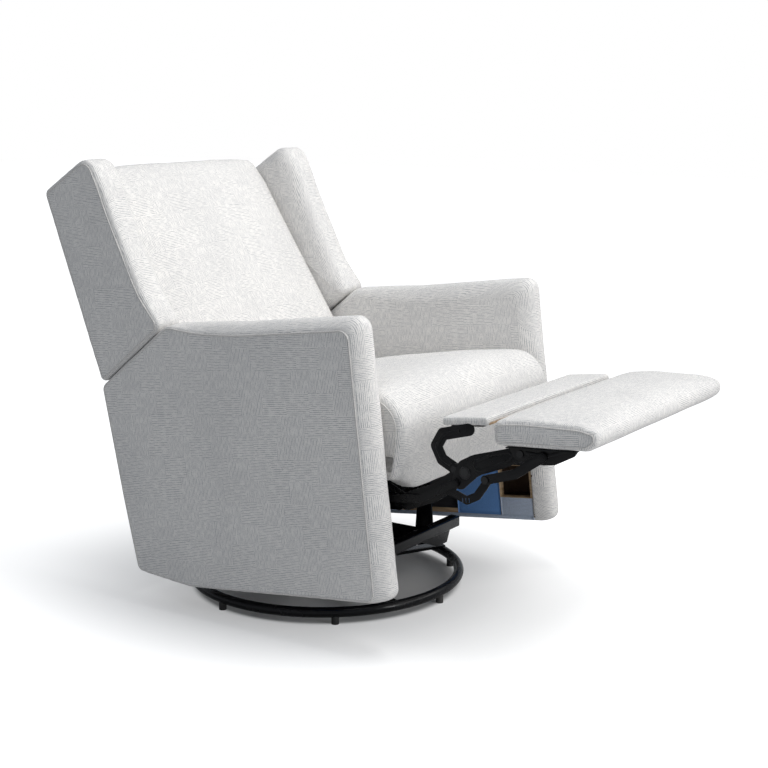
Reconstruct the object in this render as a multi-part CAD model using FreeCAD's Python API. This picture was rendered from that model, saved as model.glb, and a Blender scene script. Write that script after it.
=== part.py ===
import FreeCAD, Part
import math
import os

# Swivel glider recliner. Millimetres, +Z up, +X to the sitter's left, the front towards -Y.
# The origin is on the floor under the swivel axis. The chair stands as in use with the footrest
# out: its upper part leans back on the glider by bodyTilt.
#
# Points of the upper part are written as (y, z) in the untilted chair and turned afterwards.

V = FreeCAD.Vector

# Overall sizes
chairWidth = 735.0
armThickness = 69.5
armTop = 605.0
armBottom = 76.0
armFront = -391.0
backTop = 977.0
seatFront = -449.0
bodyTilt = 6.5
armInner = chairWidth / 2 - armThickness

# Floor base and swivel
ringRadius = 295.5
ringTubeRadius = 11.0
footHeight = 14.0
footRadius = 8.0
footCount = 7
footFirstAngle = 270.5
barWidth = 30.0
barThick = 6.0
barAngles = (-28.0, 62.0)
hubRadius = 70.0
hubThick = 6.0
raceRadius = 62.0
raceThick = 6.0
ballRadius = 4.0
ballCircle = 46.0
ballCount = 20
swivelBoltRadius = 8.0
runFit = 0.05
swivelPlateDepth = 160.0
swivelPlateThick = 5.0

# Side plates of the chassis and the glider inside them
plateInset = 30.0
plateX = armInner - plateInset
gliderInset = 82.0
gliderRailX = plateX - gliderInset
gliderRailThick = 8.0
gliderRailHeight = 30.0
gliderRailLength = 376.0
postThick = 4.0
postHalfWidth = 15.0
upperPivotY = 135.0
upperPivotZ = 232.0
crossSize = 24.0
crossY = 200.0
crossZ = 102.0
crossOverhang = 37.0
linkThick = 4.0
linkHalfWidth = 12.0
plateGap = 2.5
pinRadius = 4.0
openPinClear = 3.4
headThick = 1.4
hangerFrontPin = (-75.9, 124.9)
hangerRearPin = (134.1, 124.9)
hangerThick = 4.0
chassisTubeY = (-40.0, 70.0)
chassisTubeZ = 279.0
chassisTubeRadius = 12.5

# Chassis and seat
plateThick = 3.0
layerPitch = 5.0
chassisTop = 314.0
seatFrameHeight = 26.0
seatFrameWidth = 24.0
seatFrameFront = -362.0
seatFrameRear = 62.0
deckThick = 1.6
springWire = 1.9
seatSpringCount = 5
backSpringCount = 4
sideRailOut = 15.0
cushionGap = 4.0
cushionHalfWidth = armInner - cushionGap
cushionCrown = 16.0
cushionDrawIn = 8.0
cushionSeat = 0.4
seatCushionTop = 468.0
seatLipBottom = 298.0
armBoltRadius = 4.0
armBoltY = (-250.0, -60.0, 130.0)
armBoltZ = 291.0
armPanelThick = 18.0
armPanelFront = -376.0
armPanelRear = 196.0
armPanelBottom = 88.0
armPanelTop = 326.0
armPanelGap = 1.0
armHole = (-370.0, -292.0, 132.0, 204.0)
armHoleDepth = 28.0
armCrown = 20.0

# Back
backLean = 14.7
backRefY = 252.0
backRefZ = 502.0
backBottom = 300.0
backPanelThick = 6.0
backPanelTop = backTop - 72.0
bracketThick = 3.0
bracketGap = 1.0
backPostWidth = 24.0
backPostDepth = 22.0
backPostX = plateX - bracketGap - bracketThick - backPostWidth
wingInset = 10.5
wingInner = armInner - wingInset
wingGap = 3.0
backSideGap = 0.3
backCrown = 24.0
reclinePivot = (172.0, 332.0)
reclinePinRadius = 6.0
lowerPanelTop = 336.0
rearRailTop = 290.0
rearRailHeight = 34.0
rearRailThick = 21.0
lowerPanelFoot = (216.0, 165.0)
lowerPanelHead = 233.0

# Footrest linkage with the footrest out
drivePivot = (-340.0, 300.0)
scissorPivot = (-556.0, 315.0)
carrierPivot = (-680.0, 355.0)
lowerPivot = (-300.4, 290.8)
carrierTail = (-534.0, 296.0)
carrierEndRadius = 13.5
driveTip = (-604.0, 305.0)
controlPivot = (-727.5, 350.0)
flipperPivot = (-530.0, 320.0)
flipperRear = -612.0
flipperSeat = 404.0
torqueTubeRadius = 11.0
footPadGap = 7.0
footPadWidth = 2 * (armInner - footPadGap)
footPadRear = -632.0
footPadBase = 372.0
footPadDepth = 212.0
footPadThick = 46.0
footPadSlope = 2.8
footBoardThick = 9.0
footFlangeWidth = 15.0
flipperGap = 2.0
flipperWidth = 2 * (plateX - 2 * layerPitch - flipperGap)
flipperDepth = 96.0
flipperPadThick = 12.0
flipperBoardThick = 4.0


def roundedEdges(points):
    """Edges of a closed outline in the YZ plane; each point is (y, z, corner radius)."""
    corners = []
    count = len(points)
    for i in range(count):
        y, z, radius = points[i]
        here = V(0, y, z)
        before = V(0, points[i - 1][0], points[i - 1][1])
        after = V(0, points[(i + 1) % count][0], points[(i + 1) % count][1])
        inward = before.sub(here)
        outward = after.sub(here)
        room = 0.49 * min(inward.Length, outward.Length)
        inward.normalize()
        outward.normalize()
        half = inward.getAngle(outward) / 2
        reach = min(radius / math.tan(half), room)
        bend = reach * math.tan(half)
        middle = inward.add(outward)
        middle.normalize()
        centre = here.add(middle.multiply(bend / math.sin(half)))
        toCorner = here.sub(centre)
        toCorner.normalize()
        corners.append((here.add(inward.multiply(reach)), centre.add(toCorner.multiply(bend)),
                        here.add(outward.multiply(reach))))
    edges = []
    for i in range(count):
        start, middle, end = corners[i]
        edges.append(Part.Arc(start, middle, end).toShape())
        edges.append(Part.LineSegment(end, corners[(i + 1) % count][0]).toShape())
    return edges


def plate(points, x, thick, holes=()):
    """A flat plate from x to x + thick, with (y, z, radius) holes."""
    face = Part.Face(Part.Wire(roundedEdges(points)))
    solid = face.extrude(V(thick, 0, 0))
    solid.translate(V(x, 0, 0))
    for y, z, radius in holes:
        solid = solid.cut(rod(y, z, radius, x - 1, x + thick + 1))
    return solid


def rod(y, z, radius, x0, x1):
    """A round bar along X."""
    return Part.makeCylinder(radius, x1 - x0, V(x0, y, z), V(1, 0, 0))


def link(path, halfWidth, x, thick, holes):
    """A flat link of even width that follows a path of points, with round ends."""
    solid = None
    for i in range(len(path) - 1):
        a = V(0, path[i][0], path[i][1])
        b = V(0, path[i + 1][0], path[i + 1][1])
        side = V(1, 0, 0).cross(b.sub(a))
        side.normalize()
        side.multiply(halfWidth)
        corners = [a.add(side), b.add(side), b.sub(side), a.sub(side), a.add(side)]
        bar = Part.Face(Part.makePolygon(corners)).extrude(V(thick, 0, 0))
        bar.translate(V(x, 0, 0))
        for end in path[i:i + 2]:
            bar = bar.fuse(rod(end[0], end[1], halfWidth, x, x + thick))
        solid = bar if solid is None else solid.fuse(bar)
    solid = solid.removeSplitter()
    for y, z, radius in holes:
        solid = solid.cut(rod(y, z, radius, x - 1, x + thick + 1))
    return solid


def rivet(point, x0, x1, radius, headRadius, head=headThick):
    """A pin between two heads: the heads lie outside x0 and x1."""
    shape = rod(point[0], point[1], radius, x0 - head, x1 + head)
    for start in (x0 - head, x1):
        shape = shape.fuse(rod(point[0], point[1], headRadius, start, start + head))
    return shape.removeSplitter()


def mirrored(shape):
    return shape.mirror(V(0, 0, 0), V(1, 0, 0))


def bothSides(shape):
    return Part.makeCompound([shape, mirrored(shape)])


def tilted(shape):
    """Turns a piece of the upper part from the untilted chair to the chair at rest."""
    turned = shape.copy()
    turned.rotate(V(0, 0, 0), V(1, 0, 0), -bodyTilt)
    return turned


def tiltedPoint(point):
    a = math.radians(bodyTilt)
    y, z = point
    return (y * math.cos(a) + z * math.sin(a), z * math.cos(a) - y * math.sin(a))


def box(x0, x1, y0, y1, z0, z1):
    return Part.makeBox(x1 - x0, y1 - y0, z1 - z0, V(x0, y0, z0))


def save(name, shape, isTilted=False):
    if isTilted:
        shape = tilted(shape)
    for solid in shape.Solids:
        if not solid.isValid() or solid.Volume <= 0:
            raise ValueError("bad solid in " + name)
    shape.exportStep("parts/" + name + ".step")
    print(name, len(shape.Solids), round(shape.Volume / 1000.0, 2))


def ringTorus(radius=ringTubeRadius):
    return Part.makeTorus(ringRadius, radius, V(0, 0, footHeight + ringTubeRadius))


def baseCross():
    """Two flat bars on edge of the ring tube, welded where they cross, with a hole for the bolt."""
    low = footHeight + ringTubeRadius + 7.0
    cross = None
    for angle in barAngles:
        bar = box(-ringRadius - 4, ringRadius + 4, -barWidth / 2, barWidth / 2, low, low + barThick)
        bar.rotate(V(0, 0, 0), V(0, 0, 1), angle)
        cross = bar if cross is None else cross.fuse(bar)
    cross = cross.removeSplitter().cut(ringTorus())
    return cross.cut(Part.makeCylinder(swivelBoltRadius, 100, V(0, 0, 0)))


def footGlides():
    feet = []
    for i in range(footCount):
        angle = math.radians(footFirstAngle + 360.0 * i / footCount)
        place = V(ringRadius * math.cos(angle), ringRadius * math.sin(angle), 0)
        foot = Part.makeCylinder(footRadius, footHeight + 4, place)
        foot = foot.cut(ringTorus())
        feet.append(max(foot.Solids, key=lambda s: s.Volume))
    return Part.makeCompound(feet)


crossTop = footHeight + ringTubeRadius + 7.0 + barThick
hubTop = crossTop + hubThick
ballZ = hubTop + raceThick + 0.5
upperRaceLow = ballZ + 0.5
plateLow = upperRaceLow + raceThick
plateTop = plateLow + swivelPlateThick


def ballGroove():
    return Part.makeTorus(ballCircle, ballRadius + runFit, V(0, 0, ballZ))


def bearingBalls():
    balls = []
    for i in range(ballCount):
        angle = 2 * math.pi * i / ballCount
        centre = V(ballCircle * math.cos(angle), ballCircle * math.sin(angle), ballZ)
        balls.append(Part.makeSphere(ballRadius, centre))
    return Part.makeCompound(balls)


def disc(radius, low, thick, hole):
    outer = Part.makeCylinder(radius, thick, V(0, 0, low))
    return outer.cut(Part.makeCylinder(hole, thick + 2, V(0, 0, low - 1)))


def swivelBolt():
    """The centre bolt: its head is under the cross and its nut above the swivel plate."""
    low = crossTop - barThick - 5
    bolt = Part.makeCylinder(swivelBoltRadius, plateTop + 1 - low, V(0, 0, low))
    bolt = bolt.fuse(Part.makeCylinder(swivelBoltRadius + 5, 5, V(0, 0, low)))
    nut = Part.makeCylinder(swivelBoltRadius + 6, 7, V(0, 0, plateTop + 0.5))
    return bolt.fuse(nut).removeSplitter()


def swivelPlate():
    half = gliderRailX + gliderRailThick + 2
    solid = box(-half, half, -swivelPlateDepth / 2, swivelPlateDepth / 2, plateLow, plateTop)
    edges = [e for e in solid.Edges if abs(e.Vertexes[0].Z - e.Vertexes[1].Z) > 1]
    solid = solid.makeFillet(18, edges)
    return solid.cut(Part.makeCylinder(swivelBoltRadius + runFit, 60, V(0, 0, plateLow - 20)))


def gliderRail():
    """A bar on edge along the chair, welded to the swivel plate's end."""
    half = gliderRailLength / 2
    return box(gliderRailX, gliderRailX + gliderRailThick, -half, half,
               plateTop, plateTop + gliderRailHeight)


postX = gliderRailX + gliderRailThick
linkX = postX + postThick + plateGap
hangerX = linkX + linkThick + plateGap


def gliderPost(sign):
    """An upright plate that carries one upper pivot."""
    y = sign * upperPivotY
    low = plateTop + 4
    outline = [(y - postHalfWidth * 1.7, low, 3), (y + postHalfWidth * 1.7, low, 3),
               (y + postHalfWidth, upperPivotZ - 20, 40), (y + postHalfWidth, upperPivotZ + 13, 12),
               (y - postHalfWidth, upperPivotZ + 13, 12), (y - postHalfWidth, upperPivotZ - 20, 40)]
    return plate(outline, postX, postThick, [(y, upperPivotZ, pinRadius)])


def gliderPosts():
    posts = [gliderPost(-1), gliderPost(1)]
    return Part.makeCompound(posts + [mirrored(p) for p in posts])


def upperPins():
    pins = []
    for sign in (-1, 1):
        pins.append(rivet((sign * upperPivotY, upperPivotZ), postX, linkX + linkThick + 0.3,
                          pinRadius, pinRadius + 3, 1.6))
    return Part.makeCompound(pins + [mirrored(p) for p in pins])


def crossMember(sign):
    """A square tube across the front or the rear ends of the glider rails."""
    low = sign * crossY - crossSize / 2
    half = gliderRailX + crossOverhang
    tube = box(-half, half, low, low + crossSize, crossZ, crossZ + crossSize)
    edges = [e for e in tube.Edges if abs(e.Vertexes[0].X - e.Vertexes[1].X) > 1]
    tube = tube.makeFillet(3, edges)
    inner = box(-half - 1, half + 1, low + 2, low + crossSize - 2, crossZ + 2, crossZ + crossSize - 2)
    return tube.cut(inner)


def crossGussets():
    """Tapered plates that stand on the rail ends and carry the cross members."""
    gussets = []
    for sign in (-1, 1):
        y0 = sign * (gliderRailLength / 2 + 2) - 2
        corners = [V(gliderRailX - 116, y0, crossZ), V(gliderRailX + 34, y0, crossZ),
                   V(gliderRailX + 16, y0, plateTop + 4), V(gliderRailX - 26, y0, plateTop + 4),
                   V(gliderRailX - 116, y0, crossZ)]
        gussets.append(Part.Face(Part.makePolygon(corners)).extrude(V(0, 4, 0)))
    return Part.makeCompound(gussets + [mirrored(g) for g in gussets])


# Glider links, from the upper pivots to the hangers' pins at rest
frontPin = tiltedPoint(hangerFrontPin)
rearPin = tiltedPoint(hangerRearPin)


def frontLink():
    top = (-upperPivotY, upperPivotZ)
    holes = [(top[0], top[1], pinRadius + runFit), (frontPin[0], frontPin[1], pinRadius + runFit)]
    return link([top, frontPin], linkHalfWidth, linkX, linkThick, holes)


def rearLink():
    top = (upperPivotY, upperPivotZ)
    holes = [(top[0], top[1], pinRadius + runFit), (rearPin[0], rearPin[1], pinRadius + openPinClear)]
    return link([top, rearPin], linkHalfWidth, linkX, linkThick, holes)


def hanger():
    """A plate down from the chassis cross tubes to the glider's lower pivots."""
    (fy, fz), (ry, rz) = hangerFrontPin, hangerRearPin
    outline = [(fy - 13, fz - 12, 12), (ry + 13, rz - 12, 12), (ry + 13, rz + 14, 20),
               (chassisTubeY[1] + 22, chassisTubeZ + 8, 8), (chassisTubeY[0] - 22, chassisTubeZ + 8, 8),
               (fy - 13, fz + 14, 20)]
    holes = [(fy, fz, pinRadius), (ry, rz, pinRadius)]
    holes += [(y, chassisTubeZ, chassisTubeRadius) for y in chassisTubeY]
    return plate(outline, hangerX, hangerThick, holes)


def lowerPins():
    pins = [rivet(hangerFrontPin, linkX - 0.3, hangerX + hangerThick, pinRadius, pinRadius + 3, 1.6),
            rod(hangerRearPin[0], hangerRearPin[1], pinRadius, linkX - 1, hangerX + hangerThick)]
    return Part.makeCompound(pins + [mirrored(p) for p in pins])


def chassisTubes():
    half = plateX
    tubes = []
    for y in chassisTubeY:
        tube = rod(y, chassisTubeZ, chassisTubeRadius, -half, half)
        tubes.append(tube.cut(rod(y, chassisTubeZ, chassisTubeRadius - 2, -half - 1, half + 1)))
    return Part.makeCompound(tubes)


def chassisPlate():
    """A side plate: the footrest links pivot at its front and the back at its rear."""
    py, pz = reclinePivot
    front = drivePivot[0] - 20
    outline = [(front, chassisTop - 34, 12), (front, chassisTop, 8), (py - 65, chassisTop, 30),
               (py - 30, pz + 18, 20), (py + 18, pz + 18, 14), (py + 18, pz - 18, 14),
               (py - 45, 262, 20), (front + 25, 262, 12)]
    holes = [(drivePivot[0], drivePivot[1], pinRadius), (lowerPivot[0], lowerPivot[1], pinRadius),
             (py, pz, reclinePinRadius + runFit)]
    holes += [(y, armBoltZ, armBoltRadius) for y in armBoltY]
    return plate(outline, plateX, plateThick, holes)


def chassisBolts():
    """Bolts and spacer tubes that hold the arms to the side plates."""
    pieces = []
    for y in armBoltY:
        pieces.append(rod(y, armBoltZ, armBoltRadius + 3, plateX - 4, plateX).fuse(
            rod(y, armBoltZ, armBoltRadius, plateX - 1, armPanelX)).removeSplitter())
        spacer = rod(y, armBoltZ, armBoltRadius + 4, plateX + plateThick, armPanelX)
        pieces.append(spacer.cut(rod(y, armBoltZ, armBoltRadius, plateX, armPanelX + 1)))
    return Part.makeCompound(pieces + [mirrored(b) for b in pieces])


frameOuter = plateX + plateThick + sideRailOut
frameInner = frameOuter - seatFrameWidth
frameHigh = chassisTop + seatFrameHeight


def seatFrame():
    """Four butted rails that stand on the side plates."""
    low, top = chassisTop, frameHigh
    rails = [box(-frameOuter, frameOuter, seatFrameFront, seatFrameFront + seatFrameWidth, low, top),
             box(-frameOuter, frameOuter, seatFrameRear - seatFrameWidth, seatFrameRear, low, top)]
    for x in (-frameOuter, frameInner):
        rails.append(box(x, x + seatFrameWidth, seatFrameFront + seatFrameWidth,
                         seatFrameRear - seatFrameWidth, low, top))
    return Part.makeCompound(rails)


def sinuousSpring(start, along, across, length, width, pitch):
    """A zigzag wire in one plane: straight runs joined by half circles."""
    turns = max(2, int(length / pitch))
    step = length / turns
    edges = []
    side = 1
    for i in range(turns + 1):
        middle = start.add(V(along).multiply(i * step))
        left = middle.sub(V(across).multiply(side * width / 2))
        right = middle.add(V(across).multiply(side * width / 2))
        edges.append(Part.LineSegment(left, right).toShape())
        if i < turns:
            top = right.add(V(along).multiply(step / 2)).add(V(across).multiply(side * step / 2))
            edges.append(Part.Arc(right, top, right.add(V(along).multiply(step))).toShape())
        side = -side
    first = edges[0].Vertexes[0].Point
    circle = Part.Wire(Part.makeCircle(springWire, first, V(across)))
    return Part.Wire(edges).makePipeShell([circle], True, False)


def seatSprings():
    front = seatFrameFront + seatFrameWidth + springWire + 0.3
    length = seatFrameRear - seatFrameWidth - springWire - 0.3 - front
    z = frameHigh - springWire - 0.6
    pitch = 2 * frameInner / seatSpringCount
    springs = []
    for i in range(seatSpringCount):
        x = -frameInner + pitch * (i + 0.5)
        springs.append(sinuousSpring(V(x, front, z), V(0, 1, 0), V(1, 0, 0), length, 30.0, 27.0))
    return Part.makeCompound(springs)


def seatDeck():
    return box(-frameOuter, frameOuter, seatFrameFront, seatFrameRear, frameHigh, frameHigh + deckThick)


seatCushionBase = frameHigh + deckThick + cushionSeat


def crossLoft(profile, stations):
    """A soft solid lofted across the chair: profile(swell) at each (x, swell)."""
    wires = []
    for x, swell in stations:
        wire = Part.Wire(roundedEdges(profile(swell)))
        wire.translate(V(x, 0, 0))
        wires.append(wire)
    return Part.makeLoft(wires, True, False)


def crownStations(wide, crown, drawnIn, fullness=2):
    """Places across a cushion and its swell there: a crown that falls off to drawn-in sides."""
    half = []
    for share in (0.0, 0.28, 0.52, 0.72, 0.86, 0.95, 1.0):
        swell = crown * (1 - share ** fullness) - drawnIn * share ** 12
        half.append((wide * share, swell))
    return [(-x, swell) for x, swell in reversed(half) if x > 0] + half


def seatProfile(swell):
    """Side outline of the seat: deep waterfall front, crown by swell."""
    top = seatCushionTop
    rear = seatFrameRear - 14
    lip = seatFrameFront - 10
    return [(rear, seatCushionBase, 10), (rear, top - 16, 24), (-110, top - 3 + swell, 500),
            (-300, top + 6 + swell, 400), (seatFront + 47, top + 9 + 0.7 * swell, 60),
            (seatFront - 0.7 * swell, top - 48, 75), (seatFront + 18 - 0.7 * swell, top - 130, 120),
            (seatFront + 36, seatLipBottom, 12), (lip, seatLipBottom, 8), (lip + 5, seatCushionBase, 6)]


def seatCushion():
    return crossLoft(seatProfile, crownStations(cushionHalfWidth, cushionCrown, cushionDrawIn))


def rearLine(z):
    """Y of the back's rear face at height z."""
    return backRefY + (z - backRefZ) * math.tan(math.radians(backLean))


def leanPoint(z, depth):
    """A point at height z that lies by depth in front of the back's rear face."""
    return (rearLine(z) - depth, z)


armPanelX = armInner + armPanelGap
armDiagonalTop = leanPoint(armTop + 17, 221.5)
armDiagonalFoot = leanPoint(armTop - 106, -7.8)


def armOutline(swell):
    """Side outline of the arm; swell pushes its front and top out of the side seams."""
    return [(armFront - 1.2 * swell, armBottom, 12), (armFront - swell, armTop + swell, 18),
            (-120, armTop - 4 + swell, 900), (-20, armTop + 1 + 0.8 * swell, 500),
            armDiagonalTop + (40,), armDiagonalFoot + (16,), (236, 260, 600), (217, 103, 18),
            (75, armBottom, 150)]


def armCover():
    """The padded arm around its wooden panel, open to the inside below the seat."""
    middle = armInner + armThickness / 2
    stations = crownStations(armThickness / 2, armCrown, 0, 4)
    solid = crossLoft(armOutline, [(middle + x, swell) for x, swell in stations])
    pocket = box(armInner - 1, armPanelX + armPanelThick, armPanelFront, armPanelRear,
                 armPanelBottom, armPanelTop)
    y0, y1, z0, z1 = armHole
    deeper = box(armInner, armPanelX + armPanelThick + armHoleDepth, y0, y1, z0, z1)
    return solid.cut(pocket).cut(deeper)


def armPanel():
    y0, y1, z0, z1 = armHole
    panel = box(armPanelX, armPanelX + armPanelThick, armPanelFront, armPanelRear,
                armPanelBottom, armPanelTop)
    return panel.cut(box(0, 400, y0, y1, z0, z1))


def rearRail():
    """A rail between the arms, just before the lower back panel."""
    low = rearRailTop - rearRailHeight
    footY, footZ = lowerPanelFoot
    rise = (low - footZ) / (lowerPanelTop - footZ)
    y = footY + rise * (lowerPanelHead - footY) - 0.3
    return box(-armInner, armInner, y - rearRailThick, y, low, rearRailTop)


def lowerBackPanel():
    footY, footZ = lowerPanelFoot
    outline = [(lowerPanelHead, lowerPanelTop, 2), (lowerPanelHead + 6, lowerPanelTop + 1, 2),
               (footY + 6, footZ, 2), (footY, footZ, 2)]
    return plate(outline, -armInner + 1, 2 * armInner - 2)


def leanSlab(x0, x1, z0, z1, d0, d1):
    """A board between two depths behind the back's rear line."""
    corners = [V(x0, rearLine(z0) - d0, z0), V(x0, rearLine(z1) - d0, z1),
               V(x0, rearLine(z1) - d1, z1), V(x0, rearLine(z0) - d1, z0)]
    return Part.Face(Part.makePolygon(corners + corners[:1])).extrude(V(x1 - x0, 0, 0))


frameTop = backPanelTop - 18
frameFrontDepth = backPanelThick + backPostDepth


def backFrame():
    x0, x1 = backPostX, backPostX + backPostWidth
    depth = (backPanelThick, frameFrontDepth)
    boards = [leanSlab(x0, x1, backBottom, frameTop, *depth),
              leanSlab(-x1, -x0, backBottom, frameTop, *depth),
              leanSlab(-x0, x0, frameTop - 26, frameTop, *depth),
              leanSlab(-x0, x0, backBottom, backBottom + 30, *depth)]
    return Part.makeCompound(boards)


def backSprings():
    z0 = backBottom + 30 + springWire + 0.3
    z1 = frameTop - 26 - springWire - 0.3
    depth = backPanelThick + backPostDepth / 2
    start = V(0, rearLine(z0) - depth, z0)
    along = V(0, rearLine(z1) - depth, z1).sub(start)
    length = along.Length
    along.normalize()
    pitch = 2 * backPostX / backSpringCount
    springs = []
    for i in range(backSpringCount):
        place = start.add(V(-backPostX + pitch * (i + 0.5), 0, 0))
        springs.append(sinuousSpring(place, along, V(1, 0, 0), length, 34.0, 30.0))
    return Part.makeCompound(springs)


def backPanel():
    half = wingInner - backSideGap
    return leanSlab(-half, half, backBottom - 2, backPanelTop, 0, backPanelThick - 0.3)


def backProfile(swell):
    """Side outline of the back cushion; swell pushes its face forward."""
    deep = frameFrontDepth + cushionSeat
    return [leanPoint(seatCushionTop - 10, 194.5) + (20,),
            leanPoint(seatCushionTop + 92 + 0.4 * swell, 162 + 0.8 * swell) + (250,),
            leanPoint(backTop - 235 + 0.5 * swell, 118 + swell) + (500,),
            leanPoint(backTop - 81 + 0.4 * swell, 79.5 + 0.7 * swell) + (160,),
            leanPoint(backTop - 29 + 0.45 * swell, 57) + (18,),
            leanPoint(backTop - 57, backPanelThick + 6) + (12,),
            leanPoint(frameTop + 6, backPanelThick + 1) + (3,),
            leanPoint(frameTop + 2, deep) + (3,), leanPoint(seatCushionTop - 28, deep) + (10,)]


def backCushion():
    stations = crownStations(wingInner - backSideGap, backCrown, cushionDrawIn)
    return crossLoft(backProfile, stations)


def diagonalPoint(share, out):
    """A point along the arm's sloping rear edge, by out above it."""
    dy = armDiagonalFoot[0] - armDiagonalTop[0]
    dz = armDiagonalFoot[1] - armDiagonalTop[1]
    length = math.hypot(dy, dz)
    return (armDiagonalTop[0] + share * dy - dz / length * out,
            armDiagonalTop[1] + share * dz + dy / length * out)


def wingOutline():
    """The wing stands on the arm's sloping rear edge with a small gap."""
    return [diagonalPoint(0.07, wingGap) + (12,), diagonalPoint(0.99, wingGap) + (12,),
            leanPoint(backTop - 63, -1) + (18,), leanPoint(backTop, 152.5) + (16,),
            leanPoint(backTop - 29, 160) + (40,), leanPoint(backTop - 119, 161.5) + (700,),
            leanPoint(armTop + 85, 177.5) + (200,)]


def wingBoard():
    outline = [diagonalPoint(0.25, 18) + (12,), diagonalPoint(0.94, 18) + (12,),
               leanPoint(backTop - 82, 18) + (12,), leanPoint(backTop - 25, 144) + (12,),
               leanPoint(backTop - 117, 148) + (500,), leanPoint(armTop + 85, 161) + (200,)]
    return plate(outline, wingInner + 42, 15)


def wingCover():
    solid = plate(wingOutline(), wingInner, chairWidth / 2 - wingInner)
    faceX = chairWidth / 2
    edges = [e for e in solid.Edges if all(abs(v.X - faceX) < 0.01 for v in e.Vertexes)]
    return solid.makeFillet(8, edges).cut(wingBoard())


def reclineBracket():
    """A steel plate screwed to the back post, with the eye of the recline pivot."""
    py, pz = reclinePivot
    x = backPostX + backPostWidth
    foot = rearLine(pz + 90)
    outline = [(py - 18, pz - 16, 14), (py + 18, pz - 16, 14), (foot - 8, pz + 90, 8),
               (foot - 28, pz + 90, 8), (py - 16, pz + 20, 20)]
    return plate(outline, x, bracketThick, [(py, pz, reclinePinRadius)])


def reclinePins():
    x0 = backPostX + backPostWidth
    pin = rod(reclinePivot[0], reclinePivot[1], reclinePinRadius, x0, plateX + plateThick + 0.3)
    head = rod(reclinePivot[0], reclinePivot[1], reclinePinRadius + 4, plateX + plateThick + 0.3,
               plateX + plateThick + 3.3)
    return bothSides(pin.fuse(head).removeSplitter())


# Layers of the footrest linkage, counted from the inside
neckX = plateX - 2 * layerPitch
driveX = plateX - layerPitch
outerX = plateX + layerPitch
controlX = plateX + 2 * layerPitch


def driveLink():
    """The long stamped link from the chassis, with its hooked tip for the control link."""
    root = link([drivePivot, (-415, 254)], 13, driveX, plateThick, [])
    back = link([(-415, 254), (-476, 272), scissorPivot], 17, driveX, plateThick, [])
    ear = link([scissorPivot, flipperPivot], 12, driveX, plateThick, [])
    hookPath = [(-520, 276), (-551, 261), (-574, 270), (-590, 288), driveTip]
    hook = link(hookPath, 8, driveX, plateThick, [])
    solid = root.fuse(back).fuse(ear).fuse(hook).removeSplitter()
    for y in (-542, -549, -556):
        slot = box(driveX - 1, driveX + plateThick + 1, y - 1.2, y + 1.2, 257, 266)
        solid = solid.cut(slot)
    y, z = drivePivot
    solid = solid.cut(rod(y, z, pinRadius + runFit, driveX - 1, driveX + plateThick + 1))
    for y, z in (scissorPivot, flipperPivot, driveTip):
        solid = solid.cut(rod(y, z, pinRadius, driveX - 1, driveX + plateThick + 1))
    return solid


def torqueTube():
    tube = rod(drivePivot[0], drivePivot[1], torqueTubeRadius, -driveX, driveX)
    return tube.cut(rod(drivePivot[0], drivePivot[1], torqueTubeRadius - 2.5, -driveX - 1, driveX + 1))


def carrierLink():
    """The stamped link that carries the footrest."""
    cy, cz = carrierPivot
    outline = [(-520, 286, 12), (-528, 308, 14), (-544, 337, 20), (-575, 350, 60), (cy + 3, cz + 13, 2),
               (cy - 8, cz - 11, 2), (-640, 326, 80), (-585, 311, 50), (-548, 283, 14)]
    solid = plate(outline, plateX, plateThick)
    solid = solid.fuse(rod(cy, cz, carrierEndRadius, plateX, plateX + plateThick)).removeSplitter()
    solid = solid.cut(rod(cy, cz, pinRadius, plateX - 1, plateX + plateThick + 1))
    y, z = scissorPivot
    return solid.cut(rod(y, z, pinRadius + runFit, plateX - 1, plateX + plateThick + 1))


def lowerLink():
    """The lower link; the head at its far end stands for the rivet of the open pivot."""
    path = [lowerPivot, (-380, 262), (-450, 262), carrierTail]
    solid = link(path, 8, outerX, plateThick, [(lowerPivot[0], lowerPivot[1], pinRadius + runFit)])
    x = outerX + plateThick
    head = rod(carrierTail[0], carrierTail[1], pinRadius + 3, x, x + headThick)
    return solid.fuse(head).removeSplitter()


def controlLink():
    """The control link; the head at its far end stands for the rivet of the open pivot."""
    path = [driveTip, (-668, 318), controlPivot]
    solid = link(path, 9, controlX, plateThick, [(driveTip[0], driveTip[1], pinRadius + runFit)])
    x = controlX + plateThick
    head = rod(controlPivot[0], controlPivot[1], pinRadius + 3, x, x + headThick)
    return solid.fuse(head).removeSplitter()


def padPoint(along, up):
    """A point of the footrest pad's frame: along from its rear, up from its underside."""
    a = math.radians(footPadSlope)
    return (footPadRear - along * math.cos(a) - up * math.sin(a),
            footPadBase - along * math.sin(a) + up * math.cos(a))


def footPadProfile(swell):
    deep, thick = footPadDepth, footPadThick
    points = [(0.6 - 0.4 * swell, 0, 9), (0.6 - 0.4 * swell, thick + 3 + 0.4 * swell, 16),
              (deep * 0.3, thick + 9 + swell, 260), (deep * 0.85, thick + 4 + 0.8 * swell, 90),
              (deep + 4 + 0.5 * swell, thick - 8, 20), (deep + 2 + 0.4 * swell, 14, 16), (deep - 20, 0, 14)]
    return [padPoint(s, up) + (radius,) for s, up, radius in points]


def footBoard():
    corners = [padPoint(14, 2), padPoint(14, 2 + footBoardThick),
               padPoint(footPadDepth - 26, 2 + footBoardThick), padPoint(footPadDepth - 26, 2)]
    return plate([c + (2,) for c in corners], -footPadWidth / 2 + 12, footPadWidth - 24)


def footPad():
    pad = crossLoft(footPadProfile, crownStations(footPadWidth / 2, 3, 5))
    return pad.cut(footBoard())


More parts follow.
